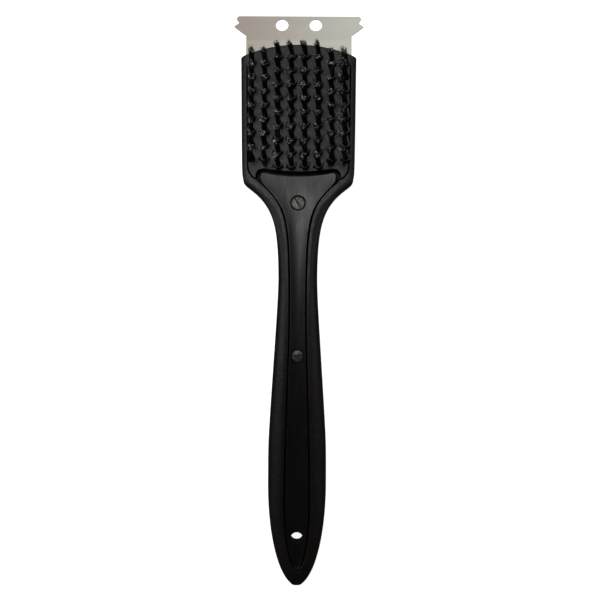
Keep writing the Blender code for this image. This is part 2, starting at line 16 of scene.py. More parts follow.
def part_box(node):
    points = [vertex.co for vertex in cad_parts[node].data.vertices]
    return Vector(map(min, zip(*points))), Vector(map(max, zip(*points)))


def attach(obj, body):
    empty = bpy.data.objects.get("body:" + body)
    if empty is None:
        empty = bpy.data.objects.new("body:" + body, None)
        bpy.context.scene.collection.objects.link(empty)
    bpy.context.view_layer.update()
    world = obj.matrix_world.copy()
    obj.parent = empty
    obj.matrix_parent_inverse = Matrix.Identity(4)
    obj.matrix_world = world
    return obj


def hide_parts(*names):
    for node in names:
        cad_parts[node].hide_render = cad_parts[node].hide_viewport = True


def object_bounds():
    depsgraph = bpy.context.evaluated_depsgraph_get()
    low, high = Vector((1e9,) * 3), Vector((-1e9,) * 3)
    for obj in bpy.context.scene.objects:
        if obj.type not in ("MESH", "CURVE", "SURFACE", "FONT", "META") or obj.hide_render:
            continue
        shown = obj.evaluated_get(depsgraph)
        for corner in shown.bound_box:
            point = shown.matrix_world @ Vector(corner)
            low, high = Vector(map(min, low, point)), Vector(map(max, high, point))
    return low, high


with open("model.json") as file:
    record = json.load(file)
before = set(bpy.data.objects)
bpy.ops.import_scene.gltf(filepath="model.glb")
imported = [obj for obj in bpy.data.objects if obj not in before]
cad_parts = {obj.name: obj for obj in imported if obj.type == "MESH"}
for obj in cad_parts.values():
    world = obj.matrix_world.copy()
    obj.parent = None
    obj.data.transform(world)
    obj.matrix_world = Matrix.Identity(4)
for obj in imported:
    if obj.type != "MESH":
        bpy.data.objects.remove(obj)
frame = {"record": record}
CAD_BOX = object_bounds()
print("solid model, lowest and highest corner:", [[round(c, 4) for c in p] for p in CAD_BOX])

# %% [markdown]
# ## How the brush is drawn
# The real moulding is bent: a straight head, a curve through the neck, a straight grip. A bent shape
# is hard to draw and easy to bend, so each piece is first drawn flat. There x runs across, y falls
# from the head's end (0) to the tail, and z is the height above the front face. One Geometry Nodes
# tree then bends every piece along the same spine and lays it down, so that all of them still fit.

# %% Sizes of the moulding, in metres
BODY_LENGTH = 0.3421
HEAD_LENGTH = 0.0872
HEAD_WIDTH = 0.0716
HEAD_BASE_WIDTH = 0.0688
NECK_WIDTH = 0.0228
GRIP_WIDTH = 0.0363
HEAD_THICKNESS = 0.0120
NECK_THICKNESS = 0.0130
GRIP_THICKNESS = 0.0175
TAIL_THICKNESS = 0.0105
HEAD_END_ARCH = 0.0080
ARCH_FADE_LENGTH = 0.025
HEAD_CORNER_RADIUS = 0.0028
SHOULDER_ROUNDING = 0.0020
SHOULDER_RUN = 0.0131
NECK_AT = HEAD_LENGTH + 0.0628
TAIL_START = BODY_LENGTH - 0.0661
SWELL_END = TAIL_START - 0.0250
SWELL_ROUNDING = 0.010
GRIP_AT = TAIL_START - 0.0130
TAIL_THIN_AT = BODY_LENGTH - 0.0291
TAIL_ROUNDING = 0.0120
BEND_START = HEAD_LENGTH + 0.0018
BEND_LENGTH = 0.130
HANDLE_BEND = math.radians(18.5)
print("drawn flat, the moulding is", round(BODY_LENGTH * 1000, 1), "mm long")

# %% [markdown]
# ## Sums that work on numbers and on nodes
# A node tree is a sum drawn with boxes. It reads better as a sum, so a small class wraps an output
# socket, and + - * / on it add the Math nodes. The functions below take a plain number or such a
# value, so one rule for the brush's outline serves both Python code and node trees.

# %% A value in a node tree
class Value:
    """One output socket, which takes part in ordinary sums."""

    def __init__(self, socket):
        self.socket = socket

    def make(self, kind, settings=None, values=None):
        return add_node(self.socket.id_data, kind, settings, values)

    def math(self, operation, *values):
        return self.make("ShaderNodeMath", {"operation": operation}, dict(enumerate(values)))

    def other(self, name):
        """Another output of the same node."""
        return Value(next(s for s in self.socket.node.outputs if s.name == name and s.enabled))

    def __add__(self, other):
        return self.math("ADD", self, other)

    def __radd__(self, other):
        return self.math("ADD", other, self)

    def __sub__(self, other):
        return self.math("SUBTRACT", self, other)

    def __rsub__(self, other):
        return self.math("SUBTRACT", other, self)

    def __mul__(self, other):
        return self.math("MULTIPLY", self, other)

    def __rmul__(self, other):
        return self.math("MULTIPLY", other, self)

    def __truediv__(self, other):
        return self.math("DIVIDE", self, other)

    def __rtruediv__(self, other):
        return self.math("DIVIDE", other, self)

    def __pow__(self, other):
        return self.math("POWER", self, other)

    def __neg__(self):
        return self.math("MULTIPLY", self, -1.0)


def add_node(tree, kind, settings=None, values=None):
    """Adds any node: its settings come first, then the values or links of its inputs, each found
    by its number or by its name. Gives its first output that is in use."""
    node = tree.nodes.new(kind)
    for name, setting in (settings or {}).items():
        setattr(node, name, setting)
    for key, value in (values or {}).items():
        if isinstance(key, int):
            socket = node.inputs[key]
        else:
            socket = next(s for s in node.inputs if s.name == key and s.enabled)
        for item in value if isinstance(value, list) else [value]:
            if isinstance(item, Value):
                tree.links.new(item.socket, socket)
            else:
                socket.default_value = item
    in_use = [s for s in node.outputs if s.enabled]
    return Value(in_use[0]) if in_use else None


print("a Value takes part in these sums: + - * / **")

# %% Functions for numbers and for values alike
def either(operation, on_number):
    def function(*items):
        for item in items:
            if isinstance(item, Value):
                return item.math(operation, *items)
        return on_number(*items)

    return function


sine = either("SINE", math.sin)
cosine = either("COSINE", math.cos)
root = either("SQRT", math.sqrt)
e_to = either("EXPONENT", math.exp)
least = either("MINIMUM", min)
most = either("MAXIMUM", max)
size_of = either("ABSOLUTE", abs)


def share(v, start, end):
    """0 up to start, 1 from end on, and a straight rise between."""
    return least(most((v - start) / (end - start), 0.0), 1.0)


def eased(v, start, end, first, last):
    return first + (last - first) * ((1 - cosine(math.pi * share(v, start, end))) / 2)


def ramp(distance, rounding):
    """0 before the start and the distance after it, with a rounded corner."""
    return (distance + root(distance * distance + rounding * rounding)) / 2


def soft_step(v, start, end, rounding):
    return (ramp(v - start, rounding) - ramp(v - end, rounding)) / (end - start)


def shoulder(v, start, run, rounding):
    """1 up to start, then a fall towards 0 that leaves at a slant and hollows out."""
    return e_to(-1 * ramp(v - start, rounding) / run)


def ellipse_end(v, start, end):
    """1 up to start, then a quarter ellipse down to 0 at end."""
    along = share(v, start, end)
    return root(1 - along * along)


def round_start(v, radius):
    """A quarter circle's rise from 0 at v = 0 to 1 at v = radius."""
    left = 1 - share(v, 0.0, radius)
    return root(1 - left * left)


print("20 mm past the head a shoulder has fallen to",
      round(shoulder(HEAD_LENGTH + 0.02, HEAD_LENGTH, SHOULDER_RUN, SHOULDER_ROUNDING), 3))

# %% [markdown]
# ## The spine
# At a distance v from the head's end the spine has a place and a fall, the angle by which it has
# turned down. The mount on the head's back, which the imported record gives, says how the finished
# brush lies: its axis gives the tilt and its place gives the shift.

# %% The spine and where it lies
HEAD_MOUNT_AT = 0.05603
mount = frame["record"]["mounts"][0]
TILT = math.asin(mount["axis"][1])
BEND_RADIUS = BEND_LENGTH / HANDLE_BEND


def spine(v, bend_start=BEND_START, bend_length=BEND_LENGTH, bend_radius=BEND_RADIUS):
    """(y, z, fall) of the front face's centre line at v, before the brush is laid down."""
    straight = least(v, bend_start)
    turned = least(most(v - bend_start, 0.0), bend_length)
    past = most(v - bend_start - bend_length, 0.0)
    fall = turned / bend_radius
    y = -1 * straight - bend_radius * sine(fall) - past * cosine(fall)
    z = bend_radius * (cosine(fall) - 1) - past * sine(fall)
    return y, z, fall


FLAT_MOUNT = Vector((0, -HEAD_MOUNT_AT, -HEAD_THICKNESS))
LAID = Matrix.Rotation(TILT, 4, "X")
SHIFT = Vector(mount["pos_m"]) - LAID @ FLAT_MOUNT
print("tilt", round(math.degrees(TILT), 3), "degrees, shift", [round(c, 5) for c in SHIFT])

# %% [markdown]
# ## Trees of Geometry Nodes
# Each tree gets named inputs for its sizes. Running one means: put the drawn mesh in an object, add
# the tree as a modifier, fill in its inputs, take the evaluated result as a plain mesh and delete
# the helper. The mesh that comes out has no modifier left on it. Booleans, bevels and weighted
# normals are taken from a helper in the same way.

# %% Helpers that carry modifiers
def helper_with(mesh):
    helper = bpy.data.objects.new("helper", mesh)
    bpy.context.scene.collection.objects.link(helper)
    return helper


def cut_by(helper, cutters):
    """Adds a boolean for each (mesh, operation) and gives the objects that hold the cutters."""
    holders = []
    for mesh, operation in cutters:
        modifier = helper.modifiers.new("cut", "BOOLEAN")
        modifier.operation = operation
        modifier.solver = "EXACT"
        modifier.object = helper_with(mesh)
        holders.append(modifier.object)
    return holders


def result_of(helper, holders=()):
    """The plain mesh that the helper's modifiers make. Then the helper and the holders go."""
    graph = bpy.context.evaluated_depsgraph_get()
    made = bpy.data.meshes.new_from_object(
        helper.evaluated_get(graph), preserve_all_data_layers=True, depsgraph=graph
    )
    for item in (helper, *holders):
        bpy.data.objects.remove(item, do_unlink=True)
    return made


def cut(mesh, cutters):
    """The mesh after each (mesh, operation) in turn."""
    helper = helper_with(mesh)
    return result_of(helper, cut_by(helper, cutters))


# %% Making and running a tree
SOCKETS = {
    float: "NodeSocketFloat",
    int: "NodeSocketInt",
    tuple: "NodeSocketVector",
    bpy.types.Material: "NodeSocketMaterial",
}


def new_tree(name, inputs):
    """A tree with a geometry input and output, and one more input for each name and value given."""
    tree = bpy.data.node_groups.new(name, "GeometryNodeTree")
    tree.interface.new_socket("Geometry", in_out="OUTPUT", socket_type="NodeSocketGeometry")
    tree.interface.new_socket("Geometry", in_out="INPUT", socket_type="NodeSocketGeometry")
    for title, value in inputs.items():
        tree.interface.new_socket(title, in_out="INPUT", socket_type=SOCKETS[type(value)])
    entry = tree.nodes.new("NodeGroupInput")
    return tree, {socket.name: Value(socket) for socket in entry.outputs if socket.name}


def end_tree(tree, geometry, material):
    """Every tree ends in plain geometry with its finish on it."""
    plain = add_node(tree, "GeometryNodeRealizeInstances", None, {"Geometry": geometry})
    painted = add_node(tree, "GeometryNodeSetMaterial", None, {"Geometry": plain, "Material": material})
    add_node(tree, "NodeGroupOutput", None, {"Geometry": painted})


def run_tree(tree, mesh, inputs):
    """The plain mesh that the tree makes from this one."""
    helper = helper_with(mesh)
    modifier = helper.modifiers.new("tree", "NODES")
    modifier.node_group = tree
    for item in tree.interface.items_tree:
        if item.name in inputs:
            modifier[item.identifier] = inputs[item.name]
    return result_of(helper)


print("a tree's inputs can be", sorted(kind.__name__ for kind in SOCKETS))


# %% [markdown]
# ## Laying a flat drawing along the spine
# The tree reads each point's flat place, finds the spine at its distance from the head's end, and
# moves the point there: first the bend, then the tilt and shift with which the brush lies.

# %% The tree that bends and lays a piece
BEND_SIZES = {
    "Bend Start": BEND_START,
    "Bend Length": BEND_LENGTH,
    "Bend Radius": BEND_RADIUS,
    "Tilt": TILT,
    "Shift": tuple(SHIFT),
}


def make_bending_tree(stand_in):
    tree, given = new_tree("lay_along_spine", {**BEND_SIZES, "Finish": stand_in})
    place = add_node(tree, "GeometryNodeInputPosition")
    x = add_node(tree, "ShaderNodeSeparateXYZ", None, {0: place})
    flat_y, height = x.other("Y"), x.other("Z")
    y, z, fall = spine(-flat_y, given["Bend Start"], given["Bend Length"], given["Bend Radius"])
    y = y - height * sine(fall)
    z = z + height * cosine(fall)
    shift_x = add_node(tree, "ShaderNodeSeparateXYZ", None, {0: given["Shift"]})
    tilt = given["Tilt"]
    laid = add_node(tree, "ShaderNodeCombineXYZ", None, {
        "X": x + shift_x,
        "Y": y * cosine(tilt) - z * sine(tilt) + shift_x.other("Y"),
        "Z": y * sine(tilt) + z * cosine(tilt) + shift_x.other("Z"),
    })
    moved = add_node(tree, "GeometryNodeSetPosition", None, {"Geometry": given["Geometry"], "Position": laid})
    end_tree(tree, moved, given["Finish"])
    return tree


print("the neck bends round a radius of", round(BEND_RADIUS * 1000, 1), "mm")

# %% [markdown]
# ## Finishes
# Every finish is a Principled shader whose colour, roughness and bump come from noise read on Object
# coordinates. All pieces sit at the origin, so a pattern's scale is the same in metres on each.

# %% Helpers for the finishes
def new_finish(name):
    """(tree, Principled shader, object coordinates) of a new material."""
    material = bpy.data.materials.new(name)
    material.use_nodes = True
    tree = material.node_tree
    shader = tree.nodes["Principled BSDF"]
    place = add_node(tree, "ShaderNodeTexCoord").other("Object")
    return material, tree, shader, place


def noise(tree, place, scale, detail, stretch=(1.0, 1.0, 1.0), roughness=0.5):
    """Grey noise from 0 to 1 around 0.5, with scale cells to the metre."""
    placed = add_node(tree, "ShaderNodeMapping", None, {"Vector": place, "Scale": stretch})
    return add_node(tree, "ShaderNodeTexNoise", None, {
        "Vector": placed, "Scale": scale, "Detail": detail, "Roughness": roughness,
    })


def between(tree, amount, first, last):
    """A colour between two colours."""
    return add_node(tree, "ShaderNodeMix", {"data_type": "RGBA"}, {
        "Factor": amount,
        "A": first if isinstance(first, Value) else (*first, 1.0),
        "B": last if isinstance(last, Value) else (*last, 1.0),
    })


def bump(tree, height, distance, strength):
    return add_node(tree, "ShaderNodeBump", None, {
        "Height": height, "Distance": distance, "Strength": strength,
    })


def connect(tree, shader, **values):
    """Links each value to the shader's socket of that name, where _ stands for a space."""
    for name, value in values.items():
        socket = shader.inputs[name.replace("_", " ")]
        if isinstance(value, Value):
            tree.links.new(value.socket, socket)
        else:
            socket.default_value = value


print("materials before the finishes:", len(bpy.data.materials))

# %% [markdown]
# ### Black moulded plastic
# The mould's face was roughened, so the plastic has a fine, uneven grain that breaks up its shine.
# Broad noise makes the shine and the black drift a little from place to place, as on any moulding,
# and a faint warm cast stands for the rust dust that wire brushes shed.

# %% The moulding's finish
def make_grained_black():
    material, tree, shader, place = new_finish("grained_black_plastic")
    grain = noise(tree, place, scale=1100.0, detail=3.0, roughness=0.65)
    pits = noise(tree, place, scale=420.0, detail=2.0)
    drift = noise(tree, place, scale=45.0, detail=3.0)
    dust = noise(tree, place, scale=21.0, detail=2.0)
    black = between(tree, drift, (0.0014, 0.0014, 0.0014), (0.0028, 0.0028, 0.0028))
    warm = between(tree, share(dust, 0.48, 0.66) * 0.7, black, (0.0080, 0.0034, 0.0028))
    flecks = share(grain, 0.60, 0.80) * 0.4
    colour = between(tree, flecks, warm, (0.014, 0.014, 0.0135))
    connect(
        tree, shader,
        Base_Color=colour,
        Roughness=0.30 + 0.20 * pits + 0.08 * drift,
        Normal=bump(tree, grain * 0.6 + pits, distance=0.00022, strength=0.9),
    )
    connect(tree, shader, IOR=1.49, Specular_IOR_Level=0.42)
    return material


def make_panel_black():
    """The cover comes from another mould, with a smoother face and a streak along its length."""
    material, tree, shader, place = new_finish("cover_black_plastic")
    grain = noise(tree, place, scale=900.0, detail=3.0, roughness=0.6)
    flow = noise(tree, place, scale=300.0, detail=3.0, stretch=(1.0, 0.22, 1.0))
    drift = noise(tree, place, scale=60.0, detail=3.0)
    black = between(tree, drift, (0.0012, 0.0012, 0.0012), (0.0024, 0.0024, 0.0023))
    colour = between(tree, share(grain, 0.60, 0.82) * 0.35, black, (0.014, 0.014, 0.0135))
    connect(
        tree, shader,
        Base_Color=colour,
        Roughness=0.27 + 0.16 * flow + 0.08 * drift,
        Normal=bump(tree, grain * 0.5 + flow, distance=0.00014, strength=0.7),
    )
    connect(tree, shader, IOR=1.49, Specular_IOR_Level=0.42)
    return material


GRAINED_BLACK = make_grained_black()
PANEL_BLACK = make_panel_black()
BENDING = make_bending_tree(GRAINED_BLACK)
print("finishes so far:", [material.name for material in (GRAINED_BLACK, PANEL_BLACK)])

# %% [markdown]
# ## Finished pieces
# A finished piece is an object at the origin with its place in its mesh. Faces whose edges turn by
# more than an angle keep a sharp edge between them and the rest are shaded smooth.

# %% Turning a flat drawing into a finished piece
PIECES = []


def weighted(mesh):
    """Lets large faces decide the shading at their corners, so that flat faces look flat."""
    helper = helper_with(mesh)
    weight = helper.modifiers.new("weight", "WEIGHTED_NORMAL")
    weight.keep_sharp = True
    return result_of(helper)


def finished(name, flat_mesh, material, node, sharp=35.0):
    """Bends and lays a flat drawing, names it, and lets it stand for one node of the solid model."""
    mesh = run_tree(BENDING, flat_mesh, {**BEND_SIZES, "Finish": material})
    if not mesh.materials:
        mesh.materials.append(material)
    mesh.shade_smooth()
    if sharp:
        mesh.set_sharp_from_angle(angle=math.radians(sharp))
        mesh = weighted(mesh)
    mesh.name = name
    piece = bpy.data.objects.new(name, mesh)
    bpy.context.scene.collection.objects.link(piece)
    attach(piece, "root")
    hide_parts(node)
    PIECES.append((piece, node))
    return piece


def to_mesh(name, shape):
    """A mesh from a bmesh, with its faces turned outwards."""
    bmesh.ops.recalc_face_normals(shape, faces=shape.faces)
    mesh = bpy.data.meshes.new(name)
    shape.to_mesh(mesh)
    shape.free()
    return mesh


print("pieces finished so far:", len(PIECES))

# %% [markdown]
# ## The moulding
# One piece of black plastic: a head with an arched end, shoulders that hollow into the neck, and a
# grip that swells and ends in an ellipse. It is a loft, so its outline and its thickness are rules
# along v. Each section is an upper and a lower row of points from left to right.

# %% The moulding's outline
HEAD_FRONT_EDGE = 0.0012
HEAD_BACK_EDGE = 0.0012
END_EDGE = 0.0012
FRONT_STRIP = 0.0019
GRIP_BACK_FLAT = 0.45
PANEL_TOP_AT = HEAD_LENGTH - 0.0059
PANEL_TOP_WIDTH = 0.0472
PANEL_TOP_SAG = 0.0025
PANEL_CORNER_RADIUS = 0.0030
PANEL_SHOULDER_AT = HEAD_LENGTH + 0.0008
PANEL_SHOULDER_RUN = 0.0126
PANEL_NECK_WIDTH = 0.0090
PANEL_SWELL_START = NECK_AT + 0.0250
PANEL_SWELL_END = TAIL_START - 0.0070
PANEL_GRIP_WIDTH = 0.0148
PANEL_END_AT = BODY_LENGTH - 0.0121
PANEL_TAIL_START = PANEL_END_AT - 0.0440
PANEL_SIDE_GAP = 0.0009
PANEL_CORNER_GAP = 0.0026
PANEL_GAP_NARROWS_FROM = PANEL_TOP_AT + 0.0030
PANEL_GAP_NARROW_AT = HEAD_LENGTH + 0.0052
FRONT_NARROW_AT = HEAD_LENGTH + 0.022
FRONT_SHARE_AT_MOST = 0.86


def body_half_width(v):
    head = HEAD_WIDTH + (HEAD_BASE_WIDTH - HEAD_WIDTH) * share(v, 0.0, HEAD_LENGTH)
    slant = shoulder(v, HEAD_LENGTH, SHOULDER_RUN, SHOULDER_ROUNDING)
    swell = soft_step(v, NECK_AT, SWELL_END, SWELL_ROUNDING)
    width = NECK_WIDTH + (head - NECK_WIDTH) * slant + (GRIP_WIDTH - NECK_WIDTH) * swell
    corner = HEAD_CORNER_RADIUS * (1 - round_start(v, HEAD_CORNER_RADIUS))
    return width / 2 * ellipse_end(v, TAIL_START, BODY_LENGTH) - corner


def panel_half_width(v):
    slant = shoulder(v, PANEL_SHOULDER_AT, PANEL_SHOULDER_RUN, SHOULDER_ROUNDING)
    swell = soft_step(v, PANEL_SWELL_START, PANEL_SWELL_END, SWELL_ROUNDING)
    widened = (PANEL_TOP_WIDTH - PANEL_NECK_WIDTH) * slant
    swollen = (PANEL_GRIP_WIDTH - PANEL_NECK_WIDTH) * swell
    return (PANEL_NECK_WIDTH + widened + swollen) / 2 * ellipse_end(v, PANEL_TAIL_START, PANEL_END_AT)


def front_half_width(v):
    """Where the flat front turns into the rounded side, along a ridge."""
    on_head = body_half_width(v) - HEAD_FRONT_EDGE
    beside_panel = panel_half_width(most(v, PANEL_TOP_AT)) + PANEL_SIDE_GAP + FRONT_STRIP
    narrowing = eased(v, HEAD_LENGTH, FRONT_NARROW_AT, on_head, beside_panel)
    return least(narrowing, body_half_width(v) * FRONT_SHARE_AT_MOST)


def body_thickness(v):
    to_neck = eased(v, HEAD_LENGTH, NECK_AT, HEAD_THICKNESS, NECK_THICKNESS)
    to_grip = eased(v, NECK_AT, GRIP_AT, 0.0, GRIP_THICKNESS - NECK_THICKNESS)
    return to_neck + to_grip + eased(v, GRIP_AT, TAIL_THIN_AT, 0.0, TAIL_THICKNESS - GRIP_THICKNESS)


print("half widths at the head, neck and grip:",
      [round(body_half_width(v) * 1000, 1) for v in (0.04, 0.15, 0.27)], "mm")

# %% The moulding's sections
RIDGE_ANGLE = math.radians(24.0)
RIDGE_START = HEAD_LENGTH - 0.004
RIDGE_END = HEAD_LENGTH + 0.014
RIDGE_ROUNDING = 0.0004
GRIP_FRONT_DROP = 0.5
GRIP_BACK_RISE = 0.46
TAIL_CLOSES_AT = BODY_LENGTH + 0.0004
FRONT_STEPS = 14
RIDGE_STEPS = 4
SIDE_STEPS = 12
BACK_STEPS = 8
BACK_SIDE_STEPS = 12


def side_row(flat_half, half, level, drop, steps, start_angle=0.0):
    """Points from the front's edge to the widest place: a quarter ellipse that may start at a slant."""
    row = []
    first_sine, first_cosine = math.sin(start_angle), math.cos(start_angle)
    for i in range(steps + 1):
        turn = start_angle + (math.pi / 2 - start_angle) * i / steps
        across = (math.sin(turn) - first_sine) / (1 - first_sine)
        down = 1 - math.cos(turn) / first_cosine
        row.append((flat_half + (half - flat_half) * across, level - drop * down))
    return row


def body_section(v):
    """(upper, lower): half rows from the centre outwards. On the head the edges are small and round,
    and on the grip each takes up about half of the thickness."""
    half = body_half_width(v)
    flat = front_half_width(v)
    thickness = body_thickness(v)
    on_head = eased(v, HEAD_LENGTH, NECK_AT, 1.0, 0.0)
    slanted = eased(v, RIDGE_START, RIDGE_END, 0.0, RIDGE_ANGLE)
    front_drop = on_head * HEAD_FRONT_EDGE + (1 - on_head) * thickness * GRIP_FRONT_DROP
    back_rise = on_head * HEAD_BACK_EDGE + (1 - on_head) * thickness * GRIP_BACK_RISE
    back_flat = on_head * (half - HEAD_BACK_EDGE) + (1 - on_head) * half * GRIP_BACK_FLAT
    pinch = END_EDGE * (1 - round_start(v, END_EDGE))
    closing = thickness / 2 * (1 - ellipse_end(v, BODY_LENGTH - TAIL_ROUNDING, TAIL_CLOSES_AT))
    top = -pinch - closing
    bottom = -thickness + pinch + closing
    scale = (top - bottom) / thickness
    inner = flat - min(RIDGE_ROUNDING, flat / 4)
    upper = [(inner * i / FRONT_STEPS, top) for i in range(FRONT_STEPS)]
    side = side_row(flat, half, top, front_drop * scale, SIDE_STEPS, slanted)
    for i in range(RIDGE_STEPS):
        # A parabola from the flat front into the first stretch of the side rounds the ridge.
        step = i / RIDGE_STEPS
        x = inner * (1 - step) ** 2 + 2 * flat * step * (1 - step) + side[1][0] * step**2
        h = top * (1 - step) ** 2 + 2 * top * step * (1 - step) + side[1][1] * step**2
        upper.append((x, h))
    upper += side[1:]
    lower = [(back_flat * i / BACK_STEPS, bottom) for i in range(BACK_STEPS)]
    lower += side_row(back_flat, half, bottom, -back_rise * scale, BACK_SIDE_STEPS)
    return upper, lower


print("points in half a section:", [len(row) for row in body_section(HEAD_LENGTH)])

# %% Lofting sections into a solid
MERGE_DISTANCE = 1e-7


def mirrored(row):
    return [(-x, h) for x, h in row[:0:-1]] + row


def end_arch(x, v):
    """How far the arched end of the head draws a point towards the tail."""
    fade = max(1 - v / ARCH_FADE_LENGTH, 0.0) ** 2
    return HEAD_END_ARCH * (2 * x / HEAD_WIDTH) ** 2 * fade


def matched(row, count):
    """Both rows of a section need the same number of points, so the shorter one gets more of them
    along its first stretch."""
    extra = count - len(row)
    if extra <= 0:
        return row
    start, second = row[0], row[1]
    finer = []
    for i in range(extra + 1):
        part = i / (extra + 1)
        finer.append((start[0] + (second[0] - start[0]) * part, start[1] + (second[1] - start[1]) * part))
    return finer + row[1:]


def loft(name, stations, section, arch=None):
    """A closed solid through a section at each station, drawn flat."""
    shape = bmesh.new()
    rings = []
    for v in stations:
        upper, lower = section(v)
        count = max(len(upper), len(lower))
        rows = []
        for row in (mirrored(matched(upper, count)), mirrored(matched(lower, count))):
            points = [(x, -(v + (arch(x, v) if arch else 0.0)), h) for x, h in row]
            rows.append([shape.verts.new(point) for point in points])
        rings.append(rows)
    for (upper, lower), (next_upper, next_lower) in zip(rings, rings[1:]):
        around = upper + lower[::-1]
        next_around = next_upper + next_lower[::-1]
        for i in range(len(around)):
            j = (i + 1) % len(around)
            shape.faces.new((around[i], around[j], next_around[j], next_around[i]))
    for upper, lower in (rings[0], rings[-1]):
        for i in range(len(upper) - 1):
            shape.faces.new((upper[i], upper[i + 1], lower[i + 1], lower[i]))
    bmesh.ops.remove_doubles(shape, verts=shape.verts, dist=MERGE_DISTANCE)
    return to_mesh(name, shape)


def spaced(start, end, count):
    return [start + (end - start) * i / count for i in range(1, count + 1)]


def quarter_spaced(start, end, count):
    """Closer and closer stations towards end, stopping short of it."""
    return [start + (end - start) * math.sin(math.pi / 2 * i / (count + 1)) for i in range(1, count + 1)]


def round_spaced(start, radius, count):
    """Stations that crowd together at start, where a quarter circle of this radius begins."""
    return [start + radius * (1 - math.cos(math.pi / 2 * i / count)) for i in range(count + 1)]


TAIL_TRIM = 0.0002
SHOULDERS_FROM = HEAD_LENGTH - 0.008
SHOULDERS_TO = HEAD_LENGTH + 0.030
body_stations = round_spaced(0.0, END_EDGE, 6)
body_stations += spaced(END_EDGE, HEAD_CORNER_RADIUS, 4)
body_stations += spaced(HEAD_CORNER_RADIUS, ARCH_FADE_LENGTH, 16)
body_stations += spaced(ARCH_FADE_LENGTH, SHOULDERS_FROM, 12)
body_stations += spaced(SHOULDERS_FROM, SHOULDERS_TO, 50)
body_stations += spaced(SHOULDERS_TO, TAIL_START, 70)
body_stations += quarter_spaced(TAIL_START, BODY_LENGTH - TAIL_TRIM, 44)
body = loft("moulding", body_stations, body_section, end_arch)
print("moulding before it is cut:", len(body.polygons), "faces")

# %% [markdown]
# ### The recess for the cover panel
# The panel lies in a shallow recess whose outline follows its own, a little wider at the sides and
# much wider across the top, where it leaves a deep black gap. The recess is cut with a loft of its
# own. The cutter flares at the front, so the recess gets a rounded lip instead of a knife edge. A
# flat floor would mirror the light above, so a gutter runs along the sides, and across the top a
# moat falls away from the light: both gaps then look black from every side.

# %% The recess and the trough under it
PANEL_THICKNESS = 0.0025
PANEL_TOP_GAP = 0.0024
CLEARANCE = 0.0003
REACH = 0.004
LIP = 0.00035
LIP_STEPS = 4
CROWN = 0.001
TROUGH_LEDGE = 0.0012
TROUGH_TOP_AT = HEAD_LENGTH + 0.0068
TROUGH_FLOOR = 0.0030
HANG_HOLE_AT = BODY_LENGTH - 0.0324
HANG_HOLE = 0.0076
HANG_HOLE_WALL = 0.0129
TROUGH_END_AT = HANG_HOLE_AT - HANG_HOLE / 2 - HANG_HOLE_WALL
RECESS_TOP_AT = PANEL_TOP_AT - PANEL_TOP_GAP
GUTTER_WIDTH = 0.0011
GUTTER_FALL = 0.0040
MOAT_DEPTH = 0.0055
MOAT_FALL = 0.0050
MOAT_LENGTH = 0.0135


def sag_from(top_at):
    """The top edge sags between its corners."""

    def sag(x, v):
        fade = most(1 - (v - top_at) / ARCH_FADE_LENGTH, 0.0)
        across = 2 * x / PANEL_TOP_WIDTH
        return PANEL_TOP_SAG * (1 - across * across) * fade

    return sag


def side_gap(v):
    """The recess is as wide round the panel's top corners as across its top, and narrows below."""
    return eased(v, PANEL_GAP_NARROWS_FROM, PANEL_GAP_NARROW_AT, PANEL_CORNER_GAP, PANEL_SIDE_GAP)


def recess_half_width(v):
    radius = PANEL_CORNER_RADIUS + PANEL_CORNER_GAP
    corner = radius * (1 - round_start(v - RECESS_TOP_AT, radius))
    return panel_half_width(max(v, PANEL_TOP_AT)) + side_gap(v) - corner


def moat_section(v):
    """The gap across the top is cut deep, with a floor that falls away, so that it reads black."""
    half = recess_half_width(v)
    floor = -MOAT_DEPTH - MOAT_FALL * (v - RECESS_TOP_AT) / MOAT_LENGTH
    row = [half * i / 5 for i in range(6)]
    return [(x, -PANEL_THICKNESS) for x in row], [(x, floor) for x in row]


def recess_section(v):
    """A floor with a gutter at its side, a wall with a rounded lip, and a crown above the front."""
    half = recess_half_width(max(v, RECESS_TOP_AT))
    lip = LIP * (1 - round_start(v - RECESS_TOP_AT + LIP, LIP))
    inside = v >= RECESS_TOP_AT
    floor = -PANEL_THICKNESS - CLEARANCE if inside else -lip
    ledge = max(half - GUTTER_WIDTH, half / 2)
    lower = [(ledge * i / 4, floor) for i in range(5)] + [(half, floor - GUTTER_FALL * inside)]
    for i in range(LIP_STEPS + 1):
        turn = math.pi / 2 * i / LIP_STEPS
        lower.append((half + LIP * (1 - math.cos(turn)), max(floor, -LIP * (1 - math.sin(turn)))))
    lower.append((half + LIP, REACH))
    upper = [(half * i / 5, REACH) for i in range(6)]
    upper += [(half + LIP * i / 20, REACH + CROWN) for i in range(1, len(lower) - 5)]
    return upper, lower


def trough_section(v):
    half = panel_half_width(v) - TROUGH_LEDGE
    over = -PANEL_THICKNESS + CLEARANCE
    floor = -body_thickness(v) + TROUGH_FLOOR
    row = [0.0, half / 2, half]
    return [(x, over) for x in row], [(x, floor) for x in row]


